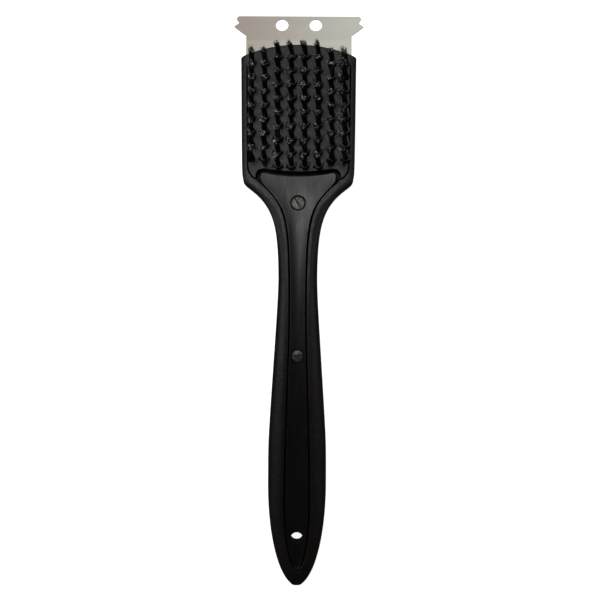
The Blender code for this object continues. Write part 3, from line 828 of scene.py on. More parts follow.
recess_corner = round_spaced(RECESS_TOP_AT, PANEL_CORNER_RADIUS + PANEL_CORNER_GAP, 9)
recess_stations = [RECESS_TOP_AT - LIP * (1 - part) for part in (0.0, 0.1, 0.3, 0.6, 0.98)]
recess_stations += recess_corner
recess_stations += spaced(recess_corner[-1], SHOULDERS_TO, 50)
recess_stations += spaced(SHOULDERS_TO, PANEL_TAIL_START, 60)
recess_stations += quarter_spaced(PANEL_TAIL_START, PANEL_END_AT, 24) + [PANEL_END_AT + PANEL_SIDE_GAP]
recess = loft("recess", recess_stations, recess_section, sag_from(RECESS_TOP_AT))
moat_stations = recess_corner + spaced(recess_corner[-1], RECESS_TOP_AT + MOAT_LENGTH, 3)
moat = loft("moat", moat_stations, moat_section, sag_from(RECESS_TOP_AT))
trough = loft("trough", [TROUGH_TOP_AT] + spaced(TROUGH_TOP_AT, TROUGH_END_AT, 60), trough_section)
print("cutters for recess, moat and trough:", [len(m.polygons) for m in (recess, moat, trough)], "faces")

# %% [markdown]
# ### Groove, tuft holes and screw holes
# A thin groove frames the field of tufts and runs into the gap above the panel. It follows a path,
# so a tree sweeps a pointed profile along that path and the result is cut away. Its slanting walls
# stay black where a flat floor would shine. The tuft holes repeat, so another tree sets one round
# cutter with a countersunk mouth on each tuft's place.

# %% Trees for cutters that follow a path or repeat
HOLE_MOUTH = 0.0003
NO_MOUTH = 1e-6
ROUND_SIDES = 24


def path_mesh(points):
    mesh = bpy.data.meshes.new("path")
    mesh.from_pydata([tuple(p) for p in points], [(i, i + 1) for i in range(len(points) - 1)], [])
    return mesh


def place_mesh(points):
    mesh = bpy.data.meshes.new("places")
    mesh.from_pydata([tuple(p) for p in points], [], [])
    return mesh


def make_sweeping_tree():
    """Sweeps a V along a path: its point lies a depth below the path, and it is widest at the path."""
    tree, given = new_tree("sweep_groove", {"Width": 0.001, "Depth": 0.002, "Finish": GRAINED_BLACK})
    path = add_node(tree, "GeometryNodeMeshToCurve", None, {"Mesh": given["Geometry"]})
    path = add_node(tree, "GeometryNodeSetCurveNormal", {"mode": "Z_UP"}, {"Curve": path})
    profile = add_node(tree, "GeometryNodeCurvePrimitiveQuadrilateral", {"mode": "KITE"}, {
        "Width": given["Width"], "Bottom Height": given["Depth"] * 0.3, "Top Height": given["Depth"],
    })
    slot = add_node(tree, "GeometryNodeCurveToMesh", None, {
        "Curve": path, "Profile Curve": profile, "Fill Caps": True,
    })
    end_tree(tree, slot, given["Finish"])
    return tree


def make_hole_tree():
    """A cylinder on each place, from Depth below the front face to Reach above it, with a
    countersunk mouth that is Mouth wider all round and as deep as it is wide."""
    tree, given = new_tree("round_holes", {
        "Radius": 0.002, "Depth": 0.007, "Reach": REACH, "Mouth": HOLE_MOUTH, "Sides": ROUND_SIDES,
        "Finish": GRAINED_BLACK,
    })
    column = add_node(tree, "GeometryNodeMeshCylinder", {"fill_type": "NGON"}, {
        "Vertices": given["Sides"], "Side Segments": 3, "Radius": 1.0, "Depth": 3.0,
    })
    place = add_node(tree, "GeometryNodeInputPosition")
    x = add_node(tree, "ShaderNodeSeparateXYZ", None, {0: place})
    level = x.other("Z") + 1.5
    to_foot = share(level, 0.0, 1.0)
    to_mouth = share(level, 1.0, 2.0)
    to_top = share(level, 2.0, 3.0)
    mouth = given["Mouth"]
    wide = given["Radius"] + mouth * to_mouth
    height = -1 * given["Depth"] + (given["Depth"] - mouth) * to_foot + mouth * to_mouth
    height = height + given["Reach"] * to_top
    shaped = add_node(tree, "ShaderNodeCombineXYZ", None, {
        "X": x * wide, "Y": x.other("Y") * wide, "Z": height,
    })
    cutter = add_node(tree, "GeometryNodeSetPosition", None, {"Geometry": column, "Position": shaped})
    points = add_node(tree, "GeometryNodeMeshToPoints", None, {"Mesh": given["Geometry"]})
    on_places = add_node(tree, "GeometryNodeInstanceOnPoints", None, {"Points": points, "Instance": cutter})
    end_tree(tree, on_places, given["Finish"])
    return tree


SWEEPING = make_sweeping_tree()
HOLES = make_hole_tree()


def round_hole(places, radius, depth, reach=REACH, mouth=HOLE_MOUTH, sides=ROUND_SIDES):
    """Cutters for equal round holes at the flat places given."""
    return run_tree(HOLES, place_mesh(places), {
        "Radius": radius, "Depth": depth, "Reach": reach, "Mouth": mouth, "Sides": sides,
        "Finish": GRAINED_BLACK,
    })


print("trees for cutters:", SWEEPING.name, "and", HOLES.name)

# %% The places of the tufts
COLUMNS = 8
MIDDLE_COLUMN_TUFTS = 9
OUTER_COLUMN_TUFTS = 8
FIELD_MARGIN = 0.0057
FIRST_TUFT_AT = 0.0079
LAST_TUFT_AT = PANEL_TOP_AT - 0.0038
PITCH_ACROSS = (HEAD_BASE_WIDTH - 2 * FIELD_MARGIN) / (COLUMNS - 1)
PITCH_ALONG = (LAST_TUFT_AT - FIRST_TUFT_AT) / (MIDDLE_COLUMN_TUFTS - 1)


def column_places():
    """The places of each column's tufts, from the left. The two outer columns on each side stand
    half a pitch nearer the head's end and have one tuft less."""
    columns = []
    for number in range(COLUMNS):
        x = (number - (COLUMNS - 1) / 2) * PITCH_ACROSS
        outer = number < 2 or number >= COLUMNS - 2
        last = LAST_TUFT_AT - (PITCH_ALONG / 2 if outer else 0.0)
        count = OUTER_COLUMN_TUFTS if outer else MIDDLE_COLUMN_TUFTS
        columns.append([Vector((x, -(last - PITCH_ALONG * i), 0.0)) for i in range(count)])
    return columns


TUFT_COLUMNS = column_places()
print("tufts:", sum(len(column) for column in TUFT_COLUMNS), "at a pitch of",
      round(PITCH_ACROSS * 1000, 1), "by", round(PITCH_ALONG * 1000, 1), "mm")

# %% The groove's path
GROOVE_INSET = 0.0036
GROOVE_START = 0.0110
GROOVE_TURN_AT = HEAD_LENGTH - 0.0097
GROOVE_END_AT = HEAD_LENGTH - 0.0010
GROOVE_END_X = 0.0238
GROOVE_WIDTH = 0.0014
GROOVE_DEPTH = 0.0018
GROOVE_LEVEL = 0.0003
GROOVE_STEPS = 12
GROOVE_TURN_STEPS = 16


def groove_path(side):
    """Straight along the head's side, rising out of the front face at its start, then a quarter
    ellipse inwards to the gap above the panel."""
    straight = []
    for i in range(GROOVE_STEPS + 1):
        v = GROOVE_START + (GROOVE_TURN_AT - GROOVE_START) * i / GROOVE_STEPS
        lift = GROOVE_DEPTH if i == 0 else 0.0
        straight.append((side * (body_half_width(v) - GROOVE_INSET), -v, GROOVE_LEVEL + lift))
    start_x = body_half_width(GROOVE_TURN_AT) - GROOVE_INSET
    turned = []
    for i in range(1, GROOVE_TURN_STEPS + 1):
        turn = math.pi / 2 * i / GROOVE_TURN_STEPS
        x = GROOVE_END_X + (start_x - GROOVE_END_X) * math.cos(turn)
        v = GROOVE_TURN_AT + (GROOVE_END_AT - GROOVE_TURN_AT) * math.sin(turn)
        turned.append((side * x, -v, GROOVE_LEVEL))
    return straight + turned


grooves = [
    run_tree(SWEEPING, path_mesh(groove_path(side)), {
        "Width": GROOVE_WIDTH, "Depth": GROOVE_DEPTH, "Finish": GRAINED_BLACK,
    })
    for side in (-1, 1)
]
print("each groove is", len(grooves[0].polygons), "faces")

# %% [markdown]
# ### Cutting the moulding
# The cuts run one after the other with the exact solver: recess, moat and trough, then the bosses
# with their bores, the grooves, the tuft holes, the scraper's pocket and the hanging hole.

# %% Sizes of the screws, the pocket and the tuft holes
UPPER_SCREW_AT = HEAD_LENGTH + 0.0134
LOWER_SCREW_AT = NECK_AT + 0.0441
SCREW_BORE = 0.0018
BOSS_RADIUS = SCREW_BORE + 0.0013
SCREW_DEPTH = 0.0100
TUFT_HOLE = 0.0022
TUFT_HOLE_DEPTH = 0.0075
TUFT_MOUTH = 0.00035
TUFT_HOLE_SIDES = 18
SHEET = 0.0010
POCKET_WALL = 0.0012
SCRAPER_NECK_WIDTH = HEAD_BASE_WIDTH - 2 * POCKET_WALL
SCRAPER_SHANK = 0.0240
SCRAPER_SCREW_X = 2 * PITCH_ACROSS
SCRAPER_SCREW_AT = FIRST_TUFT_AT + 1.25 * PITCH_ALONG
SCRAPER_BORE = 0.0014
SCRAPER_BORE_RISE = 0.007


def box_mesh(low, high):
    shape = bmesh.new()
    bmesh.ops.create_cube(shape, size=1.0)
    for vert in shape.verts:
        for axis in range(3):
            vert.co[axis] = low[axis] if vert.co[axis] < 0 else high[axis]
    return to_mesh("box", shape)


def moved(mesh, offset):
    mesh.transform(Matrix.Translation(offset))
    return mesh


def boss(v):
    """A round post from the trough's floor to the panel's underside."""
    depth = body_thickness(v) - TROUGH_FLOOR / 2
    floor = -PANEL_THICKNESS - CLEARANCE
    post = round_hole([(0, -v, 0)], BOSS_RADIUS, depth + floor, reach=NO_MOUTH, mouth=NO_MOUTH)
    return moved(post, (0, 0, floor))


half_pocket = SCRAPER_NECK_WIDTH / 2 + CLEARANCE
pocket = box_mesh((-half_pocket, -SCRAPER_SHANK - CLEARANCE, -HEAD_THICKNESS - REACH),
                  (half_pocket, REACH, -HEAD_THICKNESS + SHEET + CLEARANCE))
tuft_holes = round_hole([p for column in TUFT_COLUMNS for p in column], TUFT_HOLE, TUFT_HOLE_DEPTH,
                        mouth=TUFT_MOUTH, sides=TUFT_HOLE_SIDES)
screw_bores = round_hole([(0, -UPPER_SCREW_AT, 0), (0, -LOWER_SCREW_AT, 0)], SCREW_BORE, SCREW_DEPTH)
scraper_bores = moved(
    round_hole([(side * SCRAPER_SCREW_X, -SCRAPER_SCREW_AT, 0) for side in (-1, 1)], SCRAPER_BORE,
               REACH, reach=SCRAPER_BORE_RISE, mouth=NO_MOUTH),
    (0, 0, -HEAD_THICKNESS),
)
print("tuft hole cutters:", len(tuft_holes.polygons), "faces")

# %% The hanging hole
HANG_HOLE_LIP = 0.0008
HANG_HOLE_SIDES = 40


def hang_hole_cutter():
    """A bore right through, with a round lip at both faces."""
    shape = bmesh.new()
    thickness = body_thickness(HANG_HOLE_AT)
    radius = HANG_HOLE / 2
    profile = [(radius + HANG_HOLE_LIP, REACH), (radius + HANG_HOLE_LIP, 0.0)]
    for i in range(1, LIP_STEPS + 1):
        turn = math.pi / 2 * i / LIP_STEPS
        profile.append((radius + HANG_HOLE_LIP * (1 - math.sin(turn)), -HANG_HOLE_LIP * (1 - math.cos(turn))))
    profile += [(r, -thickness - h) for r, h in profile[::-1]]
    turns = [2 * math.pi * k / HANG_HOLE_SIDES for k in range(HANG_HOLE_SIDES)]
    rings = [
        [shape.verts.new((r * math.cos(turn), r * math.sin(turn) - HANG_HOLE_AT, h)) for turn in turns]
        for r, h in profile
    ]
    for ring, following in zip(rings, rings[1:]):
        for k in range(HANG_HOLE_SIDES):
            n = (k + 1) % HANG_HOLE_SIDES
            shape.faces.new((ring[k], ring[n], following[n], following[k]))
    shape.faces.new(rings[0])
    shape.faces.new(rings[-1][::-1])
    return to_mesh("hang_hole", shape)


hang_hole = hang_hole_cutter()
print("hanging hole cutter:", len(hang_hole.polygons), "faces")

# %% Cutting it all
body = cut(body, [
    (recess, "DIFFERENCE"),
    (moat, "DIFFERENCE"),
    (trough, "DIFFERENCE"),
    (boss(UPPER_SCREW_AT), "UNION"),
    (boss(LOWER_SCREW_AT), "UNION"),
    (screw_bores, "DIFFERENCE"),
    (grooves[0], "DIFFERENCE"),
    (grooves[1], "DIFFERENCE"),
    (tuft_holes, "DIFFERENCE"),
    (pocket, "DIFFERENCE"),
    (scraper_bores, "DIFFERENCE"),
    (hang_hole, "DIFFERENCE"),
])
body.materials.clear()
print("moulding after it is cut:", len(body.polygons), "faces")
moulding = finished("moulding", body, GRAINED_BLACK, "handle_body")

# %% [markdown]
# ## The cover panel
# A thin dished cover, held by two screws, hides the hollow of the grip. Its whole shape follows a
# rule: at each distance along, a half width and a dish. A tree can carry that rule: it starts from
# a plain grid and puts each point in its place, once for the front and once for the back. A wall
# then joins the two.

# %% The tree that shapes the panel
PANEL_DISH = 0.0007
PANEL_EDGE = 0.0005
PANEL_END_TRIM = 0.00002
TOP_SHARE = 0.12
EVEN_ACROSS = 0.35
EVEN_ALONG = 0.45
PANEL_INPUTS = {
    "Dish": PANEL_DISH, "Thickness": PANEL_THICKNESS, "Edge": PANEL_EDGE, "Rows": 260, "Columns": 41,
    "Finish": PANEL_BLACK,
}


def panel_edge_half_width(v):
    """The panel's half width with its round top corners."""
    corner = PANEL_CORNER_RADIUS * (1 - round_start(v - PANEL_TOP_AT, PANEL_CORNER_RADIUS))
    return panel_half_width(most(v, PANEL_TOP_AT)) - corner


def make_panel_tree():
    tree, given = new_tree("dished_panel", PANEL_INPUTS)
    grid = add_node(tree, "GeometryNodeMeshGrid", None, {
        "Size X": 2.0, "Size Y": 2.0, "Vertices X": given["Columns"], "Vertices Y": given["Rows"],
    })
    place = add_node(tree, "GeometryNodeInputPosition")
    x = add_node(tree, "ShaderNodeSeparateXYZ", None, {0: place})
    turn = x * (math.pi / 2)
    across = EVEN_ACROSS * x + (1 - EVEN_ACROSS) * sine(turn)
    along = (1 - x.other("Y")) / 2
    # Rows crowd together at the round top corners and towards the end of the ellipse.
    near_top = share(along, 0.0, TOP_SHARE)
    past_top = share(along, TOP_SHARE, 1.0)
    corner = (1 - cosine(near_top * (math.pi / 2))) * PANEL_CORNER_RADIUS
    rest = PANEL_END_AT - PANEL_END_TRIM - PANEL_TOP_AT - PANEL_CORNER_RADIUS
    crowded = EVEN_ALONG * past_top + (1 - EVEN_ALONG) * sine(past_top * (math.pi / 2))
    v = PANEL_TOP_AT + corner + rest * crowded
    half = panel_edge_half_width(v)
    flat_x = across * half
    from_side = half * (1 - size_of(across))
    from_edge = least(from_side, v - PANEL_TOP_AT)
    inward = share(from_edge / given["Edge"], 0.0, 1.0)
    edge = given["Edge"] * (1 - root(1 - (1 - inward) * (1 - inward)))
    height = -1 * given["Dish"] * (1 - across * across) - edge
    sagged = v + sag_from(PANEL_TOP_AT)(flat_x, v)
    shaped = add_node(tree, "ShaderNodeCombineXYZ", None, {"X": flat_x, "Y": -sagged, "Z": height})
    front = add_node(tree, "GeometryNodeSetPosition", None, {"Geometry": grid, "Position": shaped})
    low_place = add_node(tree, "ShaderNodeCombineXYZ", None, {
        "X": flat_x, "Y": -sagged, "Z": -1 * given["Thickness"],
    })
    back = add_node(tree, "GeometryNodeSetPosition", None, {"Geometry": grid, "Position": low_place})
    back = add_node(tree, "GeometryNodeFlipFaces", None, {"Mesh": back})
    joined = add_node(tree, "GeometryNodeJoinGeometry", None, {"Geometry": [front, back]})
    end_tree(tree, joined, given["Finish"])
    return tree


def wall_between_sheets(mesh):
    """Joins the front and the back sheet, which are open at their rims, by a wall."""
    shape = bmesh.new()
    shape.from_mesh(mesh)
    bmesh.ops.remove_doubles(shape, verts=shape.verts, dist=2 * MERGE_DISTANCE)
    rims = [edge for edge in shape.edges if edge.is_boundary]
    bmesh.ops.bridge_loops(shape, edges=rims)
    return to_mesh("panel", shape)


panel = wall_between_sheets(run_tree(make_panel_tree(), place_mesh([(0, 0, 0)]), PANEL_INPUTS))
print("panel:", len(panel.polygons), "faces")

# %% Holes of the panel
UPPER_HEAD = 0.0086
LOWER_HEAD = 0.0076
HEAD_HEIGHT = 0.0012
SCREW_SINK = 0.0003
SEAT_MOUTH = 0.00025
SCREW_SIDES = 40
head_top = -PANEL_DISH - SCREW_SINK
head_foot = head_top - HEAD_HEIGHT


def screw_seat(v, diameter):
    depth = CLEARANCE - head_foot - PANEL_DISH
    seat = round_hole([(0, -v, 0)], diameter / 2 + CLEARANCE, depth, mouth=SEAT_MOUTH, sides=SCREW_SIDES)
    return moved(seat, (0, 0, -PANEL_DISH))


seats = [screw_seat(UPPER_SCREW_AT, UPPER_HEAD), screw_seat(LOWER_SCREW_AT, LOWER_HEAD)]
panel = cut(panel, [(mesh, "DIFFERENCE") for mesh in (*seats, screw_bores, hang_hole)])
panel.materials.clear()
cover = finished("cover_panel", panel, PANEL_BLACK, "grip_panel")
print("cover panel:", len(cover.data.polygons), "faces")

# %% [markdown]
# ## Screws
# Screws repeat, so one tree makes them all from a radius, a height, a dome and a number of slots:
# one slot for the two screws in the cover, two crossed slots for those behind the head. The cover's
# slots are cut at a tilt, because a slot with a flat floor mirrors the light above it.

# %% The screws' finish
def make_screw_steel():
    """Dark plated steel with the fine strokes that turning and handling leave."""
    material, tree, shader, place = new_finish("dark_screw_steel")
    turned = add_node(tree, "ShaderNodeMapping", None, {"Vector": place, "Rotation": (0.0, 0.0, 0.6)})
    strokes = noise(tree, turned, scale=900.0, detail=3.0, stretch=(1.6, 0.22, 1.0), roughness=0.6)
    stain = noise(tree, place, scale=260.0, detail=3.0)
    grey = between(tree, share(strokes, 0.35, 0.65), (0.035, 0.035, 0.032), (0.20, 0.20, 0.185))
    colour = between(tree, share(stain, 0.45, 0.75) * 0.6, grey, (0.035, 0.033, 0.028))
    connect(
        tree, shader,
        Base_Color=colour,
        Metallic=0.55 + 0.25 * stain,
        Roughness=0.36 + 0.25 * strokes,
        Normal=bump(tree, strokes, distance=0.00012, strength=0.8),
    )
    return material


SCREW_STEEL = make_screw_steel()
print("finish:", SCREW_STEEL.name)

# %% The tree that makes a screw
EDGE_FROM = 0.86
EDGE_DROP = 0.35


def make_screw_tree():
    """A disc is domed and rounded at its edge, joined to a shank and cut by its slots."""
    tree, given = new_tree("slotted_screw", {
        "Radius": 0.004, "Height": 0.0012, "Dome": 0.0002, "Slot Width": 0.001, "Slot Depth": 0.0006,
        "Slots": 1, "Slot Tilt": 0.0, "Turn": 0.5, "Shank Radius": 0.0015, "Shank Length": 0.0075,
        "Finish": SCREW_STEEL,
    })
    disc = add_node(tree, "GeometryNodeMeshCylinder", {"fill_type": "TRIANGLE_FAN"}, {
        "Vertices": SCREW_SIDES, "Side Segments": 1, "Fill Segments": 8, "Radius": 1.0, "Depth": 2.0,
    })
    place = add_node(tree, "GeometryNodeInputPosition")
    x = add_node(tree, "ShaderNodeSeparateXYZ", None, {0: place})
    y = x.other("Y")
    out = root(x * x + y * y)
    is_top = share(x.other("Z"), -0.5, 0.5)
    edge = 1 - root(most(1 - share(out, EDGE_FROM, 1.0) ** 2.0, 0.0))
    top = -1 * given["Dome"] * out * out - edge * given["Height"] * EDGE_DROP
    height = top * is_top - given["Height"] * (1 - is_top)
    shaped = add_node(tree, "ShaderNodeCombineXYZ", None, {
        "X": x * given["Radius"], "Y": y * given["Radius"], "Z": height,
    })
    head = add_node(tree, "GeometryNodeSetPosition", None, {"Geometry": disc, "Position": shaped})
    slot_size = add_node(tree, "ShaderNodeCombineXYZ", None, {
        "X": given["Radius"] * 3, "Y": given["Slot Width"], "Z": given["Slot Depth"] * 2,
    })
    slot = add_node(tree, "GeometryNodeMeshCube", None, {"Size": slot_size})
    slots = add_node(tree, "GeometryNodePoints", None, {"Count": given["Slots"]})
    number = add_node(tree, "GeometryNodeInputIndex")
    slot_turn = add_node(tree, "ShaderNodeCombineXYZ", None, {
        "X": given["Slot Tilt"], "Z": given["Turn"] + number * (math.pi / 2),
    })
    turned = add_node(tree, "GeometryNodeInstanceOnPoints", None, {
        "Points": slots, "Instance": slot, "Rotation": slot_turn,
    })
    turned = add_node(tree, "GeometryNodeRealizeInstances", None, {"Geometry": turned})
    shank = add_node(tree, "GeometryNodeMeshCylinder", {"fill_type": "NGON"}, {
        "Vertices": ROUND_SIDES, "Radius": given["Shank Radius"], "Depth": given["Shank Length"],
    })
    drop = add_node(tree, "ShaderNodeCombineXYZ", None, {
        "Z": -0.5 * given["Shank Length"] - 0.5 * given["Height"],
    })
    shank = add_node(tree, "GeometryNodeTransform", None, {"Geometry": shank, "Translation": drop})
    whole = add_node(tree, "GeometryNodeMeshBoolean", {"operation": "UNION", "solver": "EXACT"}, {
        1: [head, shank], 2: True,
    })
    cut_out = add_node(tree, "GeometryNodeMeshBoolean", {"operation": "DIFFERENCE", "solver": "EXACT"}, {
        0: whole, 1: turned, 2: True,
    })
    points = add_node(tree, "GeometryNodeMeshToPoints", None, {"Mesh": given["Geometry"]})
    placed = add_node(tree, "GeometryNodeInstanceOnPoints", None, {"Points": points, "Instance": cut_out})
    end_tree(tree, placed, given["Finish"])
    return tree


SCREWS = make_screw_tree()
print("the screw tree has", len(SCREWS.nodes), "nodes")

# %% The two screws in the cover
PANEL_SCREW = {
    "Height": HEAD_HEIGHT, "Dome": 0.00045, "Slot Width": 0.0013, "Slot Depth": 0.0006, "Slots": 1,
    "Slot Tilt": 0.6, "Shank Radius": 0.0015, "Shank Length": 0.0081, "Finish": SCREW_STEEL,
}
for place, v, diameter, turn in (
    ("upper", UPPER_SCREW_AT, UPPER_HEAD, -58.0),
    ("lower", LOWER_SCREW_AT, LOWER_HEAD, 4.0),
):
    mesh = run_tree(SCREWS, place_mesh([(0, -v, head_top)]), {
        **PANEL_SCREW, "Radius": diameter / 2, "Turn": math.radians(turn),
    })
    name = f"panel_screw_{place}"
    screw = finished(f"{name}_slotted", mesh, SCREW_STEEL, name, sharp=25.0)
    print(screw.name, len(screw.data.polygons), "faces")

# %% [markdown]
# ### The scraper's screws
# These are driven from behind, so the same tree makes them and the result is turned over before it
# is laid down.

# %% The two screws behind the head
SCRAPER_SCREW = {
    "Radius": 0.0031, "Height": 0.0018, "Dome": 0.0003, "Slot Width": 0.0008, "Slot Depth": 0.0010,
    "Slots": 2, "Turn": 0.4, "Shank Radius": 0.0011, "Shank Length": 0.0079, "Finish": SCREW_STEEL,
}
for side, x in (("left", -SCRAPER_SCREW_X), ("right", SCRAPER_SCREW_X)):
    mesh = run_tree(SCREWS, place_mesh([(0, 0, 0)]), SCRAPER_SCREW)
    mesh.transform(Matrix.Rotation(math.pi, 4, "X"))
    moved(mesh, (x, -SCRAPER_SCREW_AT, -HEAD_THICKNESS - CLEARANCE - SCRAPER_SCREW["Height"]))
    name = f"scraper_screw_{side}"
    screw = finished(f"{name}_crossed", mesh, SCREW_STEEL, name, sharp=25.0)
    print(screw.name, len(screw.data.polygons), "faces")

# %% [markdown]
# ## The tufts
# Each tuft is 46 lengths of crimped wire, held by a staple at the bottom of its hole.
# Wires repeat by the thousand and each is a little different, which is what a tree is for: it puts
# copies on each tuft's place, gives each its own foot, lean, length and wave from fixed seeds, and
# sweeps a three-sided profile along it. Near the tip a named attribute rises from 0 to 1, and
# the finish reads it: the stems keep the wire's dark colour, and the tips get a painted glint.

# %% The wire's finish
def make_crimped_wire():
    material, tree, shader, place = new_finish("crimped_steel_wire")
    # Painted glint: towards each wire's tip, in noise patches, the colour goes near white, a little less
    # metallic and rough, where the lamp catches the crimped ends. The stems keep the wire's dark colour.
    end = add_node(tree, "ShaderNodeAttribute", {"attribute_name": "cut_end"}).other("Fac")
    glint_patches = noise(tree, place, scale=800.0, detail=2.0)
    painted_glint_amount = share(end * share(glint_patches, 0.49, 0.61), 0.15, 0.55)
    colour = between(tree, painted_glint_amount, (0.0030, 0.0030, 0.0030), (0.92, 0.92, 0.89))
    connect(
        tree, shader,
        Base_Color=colour,
        Metallic=0.35 - 0.15 * painted_glint_amount,
        Roughness=0.48 - 0.18 * painted_glint_amount,
        Normal=bump(tree, noise(tree, place, scale=3000.0, detail=1.0), distance=0.00005, strength=0.5),
    )
    return material


CRIMPED_WIRE = make_crimped_wire()
print("finish:", CRIMPED_WIRE.name)

# %% The tree that makes a column of tufts
WIRE_POINTS = 15
WIRE_SIDES = 3
CRIMPED_FROM = 0.1
WAIST_AT = 0.35
# Where the painted glint at each wire's tip begins, as a share of the wire's length.
PAINTED_GLINT_FROM = 0.93
STRAY_REACH = 3
SEED_STEP = 37
TUFT_INPUTS = {
    "Wires": 46, "Foot Radius": 0.0021, "Waist Radius": 0.0015, "Tip Radius": 0.0017, "Height": 0.0250,
    "Depth": 0.0040, "Uneven": 0.0016, "Wire Radius": 0.00014, "Crimp": 0.00026, "Crimp Length": 0.0034,
    "Lean": 0.0, "Stray": 0.0003, "Mess": 0.0005, "Seed": 1, "Finish": CRIMPED_WIRE,
}
TUFT_CHANCES = {"tuft_x": (-1.0, 1.0), "tuft_y": (-1.0, 1.0)}
WIRE_CHANCES = {
    "turn": (0.0, 2 * math.pi), "out": (0.0, 1.0), "phase": (0.0, 2 * math.pi),
    "wave_turn": (0.0, 2 * math.pi), "short": (0.0, 1.0), "stray_x": (-1.0, 1.0), "stray_y": (-1.0, 1.0),
}


def make_tuft_tree():
    tree, given = new_tree("crimped_wire_tufts", TUFT_INPUTS)

    def keep(geometry, name, value):
        return add_node(tree, "GeometryNodeStoreNamedAttribute", {"data_type": "FLOAT", "domain": "POINT"}, {
            "Geometry": geometry, "Name": name, "Value": value,
        })

    def kept(name):
        return add_node(tree, "GeometryNodeInputNamedAttribute", {"data_type": "FLOAT"}, {"Name": name})

    index = add_node(tree, "GeometryNodeInputIndex")

    def keep_chances(points, chances, first):
        """Keeps a random number of each name on each point, from the tree's seed and its own."""
        for number, (name, (low, high)) in enumerate(chances.items(), start=first):
            points = keep(points, name, add_node(tree, "FunctionNodeRandomValue", {"data_type": "FLOAT"}, {
                "Min": low, "Max": high, "ID": index, "Seed": given["Seed"] * SEED_STEP + number,
            }))
        return points

    points = add_node(tree, "GeometryNodeMeshToPoints", None, {"Mesh": given["Geometry"]})
    points = keep_chances(points, TUFT_CHANCES, 1)
    points = add_node(tree, "GeometryNodeDuplicateElements", {"domain": "POINT"}, {
        "Geometry": points, "Amount": given["Wires"],
    })
    points = keep_chances(points, WIRE_CHANCES, 1 + len(TUFT_CHANCES))
    line = add_node(tree, "GeometryNodeCurvePrimitiveLine", None, {"End": (0.0, 0.0, 1.0)})
    line = add_node(tree, "GeometryNodeResampleCurve", None, {"Curve": line, "Count": WIRE_POINTS})
    wires = add_node(tree, "GeometryNodeInstanceOnPoints", None, {"Points": points, "Instance": line})
    wires = add_node(tree, "GeometryNodeRealizeInstances", None, {"Geometry": wires})

    t = add_node(tree, "GeometryNodeSplineParameter")
    place = add_node(tree, "GeometryNodeInputPosition")
    x = add_node(tree, "ShaderNodeSeparateXYZ", None, {0: place})
    y = x.other("Y")
    length = given["Depth"] + given["Height"] - given["Uneven"] * kept("short")
    risen = t * length - given["Depth"]
    up = most(risen / given["Height"], 0.0)
    waist = eased(up, 0.0, WAIST_AT, 0.0, 1.0)
    flare = up * up
    radius = given["Foot Radius"] + (given["Waist Radius"] - given["Foot Radius"]) * waist
    radius = radius + (given["Tip Radius"] - given["Waist Radius"]) * flare
    foot_x = cosine(kept("turn")) * root(kept("out")) * radius
    foot_y = sine(kept("turn")) * root(kept("out")) * radius
    wave = sine(risen * (2 * math.pi) / given["Crimp Length"] + kept("phase"))
    wave = wave * given["Crimp"] * share(up, 0.0, CRIMPED_FROM)
    stray_x = kept("stray_x") * size_of(kept("stray_x")) * given["Stray"] * flare * up
    stray_y = kept("stray_y") * size_of(kept("stray_y")) * given["Stray"] * flare * up
    lean_x = (given["Lean"] + kept("tuft_x") * given["Mess"]) * flare
    lean_y = kept("tuft_y") * given["Mess"] * flare
    shaped = add_node(tree, "ShaderNodeCombineXYZ", None, {
        "X": x + foot_x + wave * cosine(kept("wave_turn")) + stray_x * STRAY_REACH + lean_x,
        "Y": y + foot_y + wave * sine(kept("wave_turn")) + stray_y * STRAY_REACH + lean_y,
        "Z": risen,
    })
    wires = add_node(tree, "GeometryNodeSetPosition", None, {"Geometry": wires, "Position": shaped})
    # This attribute marks the last part of each wire, where the finish paints a glint.
    wires = keep(wires, "cut_end", share(t, PAINTED_GLINT_FROM, 1.0))
    ring = add_node(tree, "GeometryNodeCurvePrimitiveCircle", None, {
        "Resolution": WIRE_SIDES, "Radius": given["Wire Radius"],
    })
    wires = add_node(tree, "GeometryNodeCurveToMesh", None, {
        "Curve": wires, "Profile Curve": ring, "Fill Caps": True,
    })
    end_tree(tree, wires, given["Finish"])
    return tree


TUFTS = make_tuft_tree()
print("the tuft tree has", len(TUFTS.nodes), "nodes")

# %% [markdown]
# ### How the columns differ
# Use has combed the tufts: those in the middle lean a little to the left, and the right-hand column
# leans most and is the messiest.

# %% Making the eight columns
COLUMN_LEAN = (0.0002, -0.0006, -0.0014, -0.0016, -0.0017, -0.0018, -0.0022, -0.0036)
COLUMN_MESS = (0.0005, 0.0004, 0.0004, 0.0004, 0.0004, 0.0004, 0.0006, 0.0014)
COLUMN_STRAY = (0.0004, 0.0003, 0.0003, 0.0003, 0.0003, 0.0003, 0.0004, 0.0009)
for number, places in enumerate(TUFT_COLUMNS, start=1):
    mesh = run_tree(TUFTS, place_mesh(places), {
        **TUFT_INPUTS,
        "Lean": COLUMN_LEAN[number - 1],
        "Mess": COLUMN_MESS[number - 1],
        "Stray": COLUMN_STRAY[number - 1],
        "Seed": number,
    })
    node = f"bristle_column_{number}"
    piece = finished(f"wire_tufts_{number}", mesh, CRIMPED_WIRE, node, sharp=0)
    print(piece.name, len(piece.data.polygons), "faces")

# %% [markdown]
# ## The scraper
# A strip of stainless sheet, folded back a little where it leaves its pocket, with two punched holes
# and a pair of teeth at each end. It is drawn as an open sheet, cut to its outline, and then given a
# thickness. A small bevel takes the sharpness off its edges, as tumbling does.

